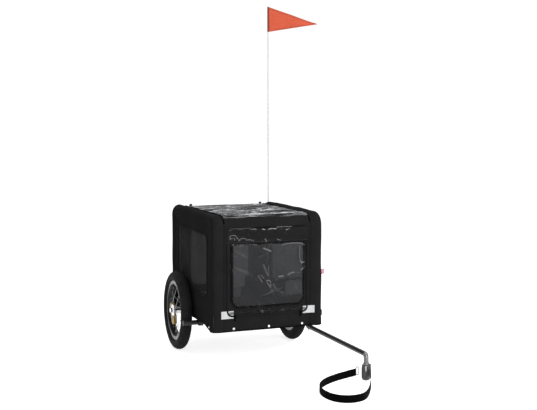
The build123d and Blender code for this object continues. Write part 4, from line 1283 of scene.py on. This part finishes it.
class TRAILER_OT_film(Operator):
    """Makes the clear roof window and the clear rain cover over the front door"""

    bl_idname = "trailer.film"
    bl_label = "Clear film"

    def execute(self, context):
        self.roof()
        self.rain_cover()
        return {"FINISHED"}

    def roof(self):
        """The roof's film: it sags between its seams, and many sharp folds run mostly across it, with
        painted glints on their forward-facing slopes.
        """
        half, ahead, behind, deepest = 0.163, 0.017, 0.018, 0.006
        start = UPRIGHT + EDGE * math.acos(1 - ahead / EDGE)
        end = GIRTH - UPRIGHT - EDGE * math.acos(1 - behind / EDGE)
        low, high = np.array([-half, start]), np.array([half, end])
        flat = panel_grid(low, high, 270, 190)
        border = edge_distance(flat, low, high)
        free = np.clip(border / 0.02, 0, 1)
        ripple = 0.0035 * np.sin(flat[..., 0] * 52 + 1.0) * np.sin(flat[..., 0] * 23)
        flat[..., 1] += ripple * np.clip(1 - (flat[..., 1] - start) / 0.05, 0, 1)
        ridges = creased(flat, low, high, number=190, seed=11, long=0.055, spread=1.5, wide=0.007)
        broad = creased(flat, low, high, number=40, seed=12, long=0.12, spread=2.4, wide=0.02)
        height = (ridges * 0.5 + broad) * sizes().crease * (0.12 + 0.88 * free)
        sag = -deepest * np.clip(border / 0.12, 0, 1) ** 0.8
        points, normals = skin(flat[..., 0], flat[..., 1], 0.0012 + np.maximum(height, -0.001) + sag)
        shape = Shape().grid(points, uv=flat, outward=normals)
        # painted glints: white where a fold's slope faces forward
        shape.mark("glint", step_up(np.gradient(ridges + 0.6 * broad, axis=0), 0.10, 0.42) * 0.9)
        uneven = waves(points, shortest=0.03, longest=0.15, number=12, seed=9)
        shape.mark("veil", step_up(uneven, -0.8, 0.8))
        roof = shape.build("roof_film", "roof film", slot="clear_film")
        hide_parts("roof_window")

    def rain_cover(self):
        """The door's film: placed folds with painted glints, and panes of painted reflection over the
        window, over faint scattered creases. It is bunched in short folds at its top, and bulges at one
        side."""
        low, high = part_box("rain_cover")
        lowest, highest = np.array([low.x - MIDDLE, low.z]), np.array([high.x - MIDDLE, high.z])
        flat = panel_grid(lowest, highest, 250, 240)
        x, z = flat[..., 0], flat[..., 1]
        free = np.clip(edge_distance(flat, lowest, highest) / 0.03, 0, 1)
        placed = folded(flat, FOLDS)
        small = creased(flat, lowest, highest, number=90, seed=5, long=0.05, wide=0.008)
        bunch_low = 0.448
        bunch = creased(flat, np.array([lowest[0], bunch_low]), highest, number=60, seed=8, long=0.04)
        bunch *= np.clip((z - bunch_low) / 0.01, 0, 1)
        bulge = 0.010 * np.exp(-((x - 0.128) / 0.016) ** 2 - ((z - 0.395) / 0.035) ** 2)
        height = placed * 0.25 + small * 0.22 * (0.2 + 0.8 * free) + bunch * 0.25
        lift = 0.0030 + 0.0016 * step_up(free, 0, 1) + bulge + np.maximum(height * sizes().crease, -0.0012)
        points, normals = skin(x, z - SKIRT, lift)
        shape = Shape().grid(points, uv=flat, outward=normals)
        # painted glints along the placed folds, halved below the flap's edge, and faint ones on sharp
        # scattered creases
        sharp = np.abs(np.gradient(small, axis=0)) + np.abs(np.gradient(small, axis=1))
        shown = placed * np.where(z < FLAP_EDGE + 0.0005, 0.5, 1.0)
        shape.mark("glint", np.maximum(shown, 0.10 * step_up(sharp, 0.15, 0.6)))

        # the panes of painted reflection show only over the window, whose upper corners are sharper than
        # its lower ones
        low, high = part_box("front_window")
        corner = np.where(z < (low.z + high.z) / 2, 0.027, 0.008)
        reach = np.array([(high.x - low.x) / 2, (high.z - low.z) / 2])
        beyond = np.abs(flat - [0.0, (low.z + high.z) / 2]) - reach + corner[..., None]
        beyond = np.linalg.norm(np.maximum(beyond, 0), axis=-1) - corner
        over_window = 1 - step_up(beyond, -0.0030, -0.0008)
        uneven = 0.25 * step_up(waves(points, shortest=0.02, longest=0.12, number=12, seed=4), -0.9, 0.9)
        hem = step_up(z, 0.1895, 0.191) * (1 - step_up(z, 0.1985, 0.2))
        # painted reflection panes over the window with random unevenness, and a lighter band along the hem
        shape.mark("veil", (painted_reflection(flat, REFLECTION_PANES) + uneven) * over_window + 0.8 * hem)
        cover = shape.build("rain_cover_film", "cover film", "front_door", "clear_film")
        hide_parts("rain_cover")


def open_part(path, kept):
    """The part of a closed line where kept is true, from one of its ends to the other."""
    first = np.flatnonzero(~kept)[-1] + 1
    return np.roll(path, -first, axis=0)[:int(kept.sum())]


class TRAILER_OT_trim(Operator):
    """Makes the seams, piping, bindings, hems, stitches, patches, snaps and small fittings"""

    bl_idname = "trailer.trim"
    bl_label = "Trim"

    def execute(self, context):
        for part in (self.seams, self.door_trim, self.side_bindings, self.hems, self.patches, self.snaps,
                     self.fittings):
            part()
        return {"FINISHED"}

    def seams(self):
        """Each long seam is cord piping over the roof and two rows of stitches down the walls. A
        lapped strip crosses the end walls beside the doors."""
        piping, laps, rows = Shape(), Shape(), Shape()
        top = UPRIGHT + EDGE * 0.35
        for x in (-SEAM, SEAM):
            points, normals = skin(x, np.linspace(top, GIRTH - top, 160))
            path = slack(points, normals, sizes().piping * 0.7)
            carry(piping, path, ACROSS, normals, circle(sizes().piping))
            for offset in (-SEAM_ROWS, SEAM_ROWS):
                points, normals = skin(x + offset, np.linspace(0, GIRTH, 260))
                stitches(rows, slack(points, normals, 0.0004), normals)
        for end in ENDS:
            for low, high in ((-SEAM, -DOOR_EDGE), (DOOR_EDGE, SEAM)):
                points, normals = skin(np.linspace(low, high, 8), end_s(end, FLAP_EDGE))
                carry(laps, slack(points, normals), np.cross(normals, ACROSS), normals, tape(0.005, 0.0016))
        piping.build("roof_piping", "trim")
        laps.build("lapped_seams", "cloth")
        rows.build("seam_stitches", "trim")

    def door_trim(self):
        """Piping round each door's sides and bottom, a flap over its top, a tape round its window and
        two zip sliders."""
        for end in ENDS:
            body, edge, below = f"{end}_door", end_s(end, FLAP_EDGE), 1 if end == "front" else -1
            tapes, rows = Shape(), Shape()
            door = node_outline(body, end, 0.0015)
            door = open_part(door, (edge - door[:, 1]) * below > -0.003)
            points, normals = on_wall(end, door)
            path = slack(points, normals, sizes().piping * 0.9)
            cord = carry(Shape(), path, np.cross(tangents(path), normals), normals,
                         circle(sizes().piping * 1.7, 12))
            cord.build(f"{end}_door_piping", "cloth", body)
            window = node_outline(f"{end}_window", end, -sizes().binding * 0.2, 0.027)
            upper = (window[:, 1] - window[:, 1].mean()) * below > 0
            window[:, 1] += np.where(upper, 0.028 * below, 0.0)
            window = open_part(window, (edge - window[:, 1]) * below > -0.003)
            bind(tapes, rows, *on_wall(end, window))
            tapes.build(f"{end}_door_trim", "trim", body)
            self.flap(end, rows)
            rows.build(f"{end}_door_stitches", "thread", body)
            self.sliders(end)

    def flap(self, end, rows):
        """The flap over a door's top: a strip that stands off the door over the piping's ends."""
        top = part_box(f"{end}_door")[1].z - 0.004
        low, high = sorted((end_s(end, FLAP_EDGE), end_s(end, top)))
        flat, stand_off = panel_grid((-FLAP_HALF, low), (FLAP_HALF, high), 16, 90), 0.0018
        flap = sew(*on_wall(end, flat, stand_off), flat)
        flap = flap.build(f"{end}_door_flap", "cloth", f"{end}_door")
        thicken(flap, 0.0010)
        inside = 0.004 if end == "front" else -0.004
        across = np.linspace(0.0025 - FLAP_HALF, FLAP_HALF - 0.0025, 120)
        points, normals = skin(across, end_s(end, FLAP_EDGE) + inside, stand_off + 0.0001)
        stitches(rows, slack(points, normals), normals)

    def sliders(self, end):
        """Two zip sliders at a door's lower corners, each with its pull: flattened round solids."""
        points, faces = lathe([[0.1, -0.5], [0.75, -0.45], [1.0, -0.2], [1.0, 0.2], [0.75, 0.45],
                               [0.1, 0.5]], 12)
        shape = Shape()
        low = end_s(end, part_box(f"{end}_door")[0].z + 0.0015)
        down = -1 if end == "front" else 1
        for x in (-0.126, 0.126):
            for step, length, wide, thick, lift in ((0.0, 0.011, 0.0042, 0.0024, 0.0046),
                                                    (down * 0.010, 0.016, 0.0028, 0.0008, 0.0052)):
                middle, normal = skin([x], [low + step], lift)
                lengthwise = ACROSS if step == 0 else np.cross(normal, ACROSS)
                shape.copies((points * [thick, wide, length], faces), middle, axes_from(lengthwise, normal))
        shape.build(f"{end}_zip_sliders", "trim", f"{end}_door")

    def side_bindings(self):
        """A tape round each side window."""
        tapes, rows = Shape(), Shape()
        for side in SIDES:
            window = node_outline(f"side_mesh_{side}", side, -sizes().binding * 0.2, steps=SIDE_STEPS)
            bind(tapes, rows, *proud_side(side, *window.T), closed=True)
        tapes.build("side_window_bindings", "trim")
        rows.build("side_window_stitches", "thread")

    def hems(self):
        """A folded tape along the lower edges of the walls, with a row of stitches."""
        tapes, rows = Shape(), Shape()
        half, (y, z) = HALF - sizes().edge_round, side_hem().T
        lines = [skin(np.linspace(-half, half, 90), end_s(end, SKIRT + 0.003)) for end in ENDS]
        lines += [side_skin(side, y, z + 0.003, proud(side, y, z)) for side in SIDES]
        for points, normals in lines:
            path = slack(points, normals)
            sideways = np.cross(tangents(path), normals)
            sideways *= np.sign(sideways[:, 2:] + 1e-9)
            carry(tapes, path, sideways, normals, tape(0.007, 0.0026))
            stitches(rows, path + sideways * TAPE_ROWS + normals * 0.0013, normals)
        tapes.build("skirt_hems", "trim")
        rows.build("skirt_stitches", "thread")

    def patches(self):
        """Reflective patches at the front door's lower corners: the part inside the door's outline
        is sewn on the door, and the rest on the wall."""
        low, high = corners("front_door", "front")
        corner = 0.02
        outer, inner = Shape(), Shape()
        for side, first, last in (("right", -0.1765, -0.130), ("left", 0.1365, 0.1815)):
            flat = panel_grid((first, PATCH_LOW - SKIRT), (last, PATCH_HIGH - SKIRT), 55, 95)
            beyond = np.abs(flat - [0.0, (low[1] + high[1]) / 2]) - (high - low) / 2 + corner
            within = np.linalg.norm(np.maximum(beyond, 0), axis=-1) < corner - 0.0008
            rise = proud(side, FRONT, SKIRT + flat[..., 1],
                         np.maximum(HALF - sizes().edge_round - np.abs(flat[..., 0]), 0))
            points, normals = on_wall("front", flat, 0.0005 + rise)
            points = slack(points, normals)
            outer.grid(points, uv=flat, outward=normals, keep=~within)
            inner.grid(points, uv=flat, outward=normals, keep=within)
        thicken(outer.build("wall_patches", "patch"), 0.0008, 1.0)
        thicken(inner.build("door_patches", "patch", "front_door"), 0.0008, 1.0)

    def snaps(self):
        """Press studs on the skirts: low domes with a raised rim."""
        stud = lathe([[1.0, 0.0], [1.0, 0.0008], [0.95, 0.0016], [0.82, 0.0020], [0.7, 0.0016],
                      [0.45, 0.0021], [0.02, 0.0022]], 20, sizes().snap / 2)
        y, z = np.array([FRONT + 0.041, REAR - 0.041]), np.full(2, SKIRT + 0.0145)
        spots = [skin(np.tile([-0.129, 0.004, 0.134], 2), np.repeat([0.0105, GIRTH - 0.0105], 3))]
        spots += [proud_side(side, y, z) for side in SIDES]
        shape = Shape()
        for places, normals in spots:
            shape.copies(stud, slack(places, normals), axes_from(normals))
        shape.build("skirt_snaps", "snap")

    def fittings(self):
        """Knobs at the roof's rear corners, and a buckle and a folded tab on the left side's edge."""
        knob = lathe([[1.0, -0.0138], [1.0, 0.00115], [1.25, 0.0023], [1.3, 0.0046], [1.1, 0.007475],
                      [0.6, 0.00897], [0.02, 0.00943]], 20, 0.00483)
        places, normals = skin([-0.141, 0.155], np.full(2, GIRTH - UPRIGHT - QUARTER + 0.014))
        shape = Shape().copies(knob, places, axes_from(normals, ACROSS))
        buckle = block(np.array([0.006, 0.007, 0.012]), 20, 28, 0.4, 0.4, 0.4)
        shape.grid(buckle + [LEFT + 0.005, FRONT + 0.016, 0.171], wrap=(False, True))
        shape.build("roof_knobs_and_buckle", "plastic", slot="black_plastic")

        out = np.linspace(0.0, 0.0205, 10)
        path = np.stack([LEFT + out, np.full(10, FRONT + 0.014), 0.3205 + 0.2 * out], -1)
        carry(Shape(), path, UP, FORWARD, tape(0.019, 0.0016)).build("side_tab", "tab")


class TRAILER_OT_flag(Operator):
    """Makes the pennant with its folded edges"""

    bl_idname = "trailer.flag"
    bl_label = "Flag"

    def execute(self, context):
        low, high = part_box("flag")
        pole = (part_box("flag_pole")[0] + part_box("flag_pole")[1]) / 2
        length, height, tip = high.x - low.x, high.z - low.z, 0.012

        def cloth(u, v):
            """u runs from the pole to the tip and v from the lower to the upper edge: the height
            shrinks with u, and the cloth waves sideways by a sine that grows with u."""
            x = low.x - 0.0008 + u * length
            z = high.z - height / 2 - tip * u + v * height / 2 * (1 - u)
            return np.stack([x, pole.y + 0.004 * u * np.sin(u * 9.0 + v), z], -1)

        u, v = np.meshgrid(np.linspace(0, 1, 60), np.linspace(-1, 1, 30), indexing="ij")
        shape = Shape().grid(cloth(np.minimum(u, 0.995), v), outward=FORWARD,
                             uv=np.stack([u * length, v * height / 2 * (1 - u)], -1))
        flag = shape.build("pennant", "flag", slot="flag_cloth")
        thicken(flag, 0.0005, 0.0)
        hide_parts("flag")

        hems, width = Shape(), 0.008
        share = np.linspace(0, 0.96, 60)
        for edge in (-1.0, 1.0):
            path = cloth(share, np.full(60, edge))
            inward = cloth(share, np.full(60, edge * 0.9)) - path
            inward /= np.linalg.norm(inward, axis=1, keepdims=True)
            carry(hems, path + inward * width / 2, inward, -FORWARD, tape(width, 0.0013))
        edges = hems.build("pennant_hems", "flag hem", slot="flag_cloth")
        path = np.linspace((pole.x, pole.y, low.z), (pole.x, pole.y, high.z), 20)
        sleeve = carry(Shape(), path, ACROSS, -FORWARD, circle(0.0036, 14))
        sleeve.build("pennant_sleeve", "flag sleeve", slot="flag_cloth")
        repaint("pole", "flag_pole")
        repaint("plastic", "flag_holder")
        return {"FINISHED"}


class TRAILER_OT_wheels(Operator):
    """Makes the tyres and the wheels' small parts, and finishes the rims, hubs and spokes"""

    bl_idname = "trailer.wheels"
    bl_label = "Wheels"

    def execute(self, context):
        for side in SIDES:
            low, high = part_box(f"tyre_{side}")
            middle = (low + high) / 2
            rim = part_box(f"rim_{side}")[1].z - middle.z
            self.tyre(side, middle, (high - low) / 2, rim + 0.0006)
            self.small_parts(side, np.array(middle), rim - 0.0130)
            repaint("reflector", f"reflector_{side}")
            repaint("rim", f"rim_{side}")
            repaint("chrome", f"hub_{side}", f"axle_{side}")
            repaint("steel", f"spokes_{side}")
            repaint("plastic", f"wheel_knuckle_{side}")
        return {"FINISHED"}

    def tyre(self, side, middle, reach, seat):
        """A tyre: a round section turned about the axle, its inner side cut flat by the rim.

        The section's angle is 0 at the tread's middle. The tread's grooves are steps of sine waves:
        two round the tyre, and cross grooves that are staggered from one row of blocks to the next."""
        half, radius, blocks = reach.x, reach.z - reach.x, 44
        row_angle, tread_end, band_start, band_end = *np.radians((24, 66, 75)), 2.2
        turn, section = np.meshgrid(np.linspace(0, TAU, 640, endpoint=False),
                                    np.linspace(-math.pi, math.pi, 96, endpoint=False), indexing="ij")

        def groove(wave, sharp):
            """A step from 0 to 1 where the wave passes 0.62."""
            return 0.5 - 0.5 * np.tanh((wave - 0.62) * -sharp)

        row = np.round(np.abs(section) / row_angle)
        cross = groove(np.cos(turn * blocks + row * math.pi + np.sign(section) * 0.9 * section), 9)
        rings = groove(np.cos(section * TAU / row_angle - math.pi), 5)
        crown = 1 / (1 + np.exp((np.abs(section) - tread_end) * 22))
        depth = sizes().tread * np.maximum(cross, rings * 0.9) * crown
        bands = 0.0004 * groove(np.cos(section * 34), 6) * (1 - crown)
        away = half - depth + bands * (np.abs(section) > band_start) * (np.abs(section) < band_end)
        r = np.maximum(radius + away * np.cos(section), seat)
        points = np.stack([middle.x + np.clip(away, None, half) * np.sin(section),
                           middle.y + r * np.cos(turn), middle.z + r * np.sin(turn)], -1)
        tyre = Shape().grid(points, wrap=(True, True))
        tyre = tyre.build(f"tread_tyre_{side}", "rubber", f"wheel_{side}", "tyre")
        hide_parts(f"tyre_{side}")

    def small_parts(self, side, middle, inner):
        """Nipples where the spokes meet the rim, and the valve."""
        nipple = lathe([[0.2, 0.0], [1.0, 0.0004], [1.1, 0.004], [1.4, 0.008], [0.9, 0.0095]], 10, 0.0016)
        valve = lathe([[0.3, 0.0], [0.9, 0.0005], [1.0, 0.010], [1.0, 0.012], [1.35, 0.0125],
                       [1.35, 0.0145], [1.0, 0.0150], [1.0, 0.026]], 14, 0.0030)
        angle = np.arange(20) * TAU / 20
        spokes = np.stack([0 * angle, np.cos(angle), np.sin(angle)], -1)
        upper_front = np.array([[0.0, -0.5, 0.866]])
        shape = Shape()
        for solid, outward, length in ((nipple, spokes, 0.0085), (valve, upper_front, 0.026)):
            shape.copies(solid, middle + outward * (inner - length), axes_from(outward, ACROSS))
        shape.build(f"nipples_{side}", "steel", f"wheel_{side}", "spokes")


class TRAILER_OT_frame(Operator):
    """Finishes the tubes, connectors, floor, beam, drawbar and coupler"""

    bl_idname = "trailer.frame"
    bl_label = "Frame and towing parts"

    def execute(self, context):
        self.bolts()
        repaint("paint", "base_frame", "side_hoop_left", "side_hoop_right", "roof_bars", "side_brace_left",
                "side_brace_right", "tow_beam", "beam_clamps", "drawbar_bracket")
        repaint("drawbar", "drawbar")
        repaint("plastic", "corner_connectors", "pivot_knob", "beam_caps")
        repaint("board", "floor_panel")
        repaint("steel", "pivot_bolt", "strap_ring", "strap_collar")
        repaint("coupler", "coupler")
        return {"FINISHED"}

    def bolts(self):
        """Hexagon bolt heads on the beam's clamps and the bracket: six-sided turned solids with a bevelled
        rim on a round washer."""
        radius = 0.0050
        head = lathe([[1.0, 0.0012], [1.0, 0.0044], [0.82, 0.0052], [0.05, 0.0052]], 6, radius)
        washer = lathe([[1.35, -0.0004], [1.35, 0.0008], [1.25, 0.0013], [0.05, 0.0013]], 20, radius)
        front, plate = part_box("beam_clamps")[0].y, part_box("drawbar_bracket")
        places = [(RIGHT + 0.020, front, 0.134), (LEFT - 0.020, front, 0.134)]
        places += [(end.x, plate[0].y + 0.030, plate[1].z - 0.012) for end in plate]
        facing = [(0.0, -1.0, 0.0)] * 2 + [(math.copysign(1, end.x), 0.0, 0.0) for end in plate]
        shape = Shape()
        for solid in (head, washer):
            shape.copies(solid, np.array(places), axes_from(facing))
        shape.build("bolt_heads", "steel", slot="steel_parts", smooth=False)


STEPS = (TRAILER_OT_stage, TRAILER_OT_strap, TRAILER_OT_mat, TRAILER_OT_walls, TRAILER_OT_doors,
         TRAILER_OT_windows, TRAILER_OT_film, TRAILER_OT_trim, TRAILER_OT_flag, TRAILER_OT_wheels,
         TRAILER_OT_frame)


class TRAILER_PT_sidebar(Panel):
    """The trailer's settings and building steps"""

    bl_label = "Trailer"
    bl_space_type = "VIEW_3D"
    bl_region_type = "UI"
    bl_category = "Trailer"

    def draw(self, context):
        for settings in (context.scene.trailer_sizes, context.scene.trailer_colours):
            box = self.layout.box()
            for name in settings.__annotations__:
                box.prop(settings, name)
        for step in STEPS:
            self.layout.operator(step.bl_idname)


CLASSES = (TrailerSizes, TrailerColours, *STEPS, TRAILER_PT_sidebar)


def register():
    for item in CLASSES:
        bpy.utils.register_class(item)
    bpy.types.Scene.trailer_sizes = PointerProperty(type=TrailerSizes)
    bpy.types.Scene.trailer_colours = PointerProperty(type=TrailerColours)


def unregister():
    del bpy.types.Scene.trailer_colours
    del bpy.types.Scene.trailer_sizes
    for item in reversed(CLASSES):
        bpy.utils.unregister_class(item)


def main():
    """Builds every piece in order."""
    register()
    for step in STEPS:
        name = step.bl_idname.split(".")[1]
        getattr(bpy.ops.trailer, name)()


if __name__ == "__main__":
    main()
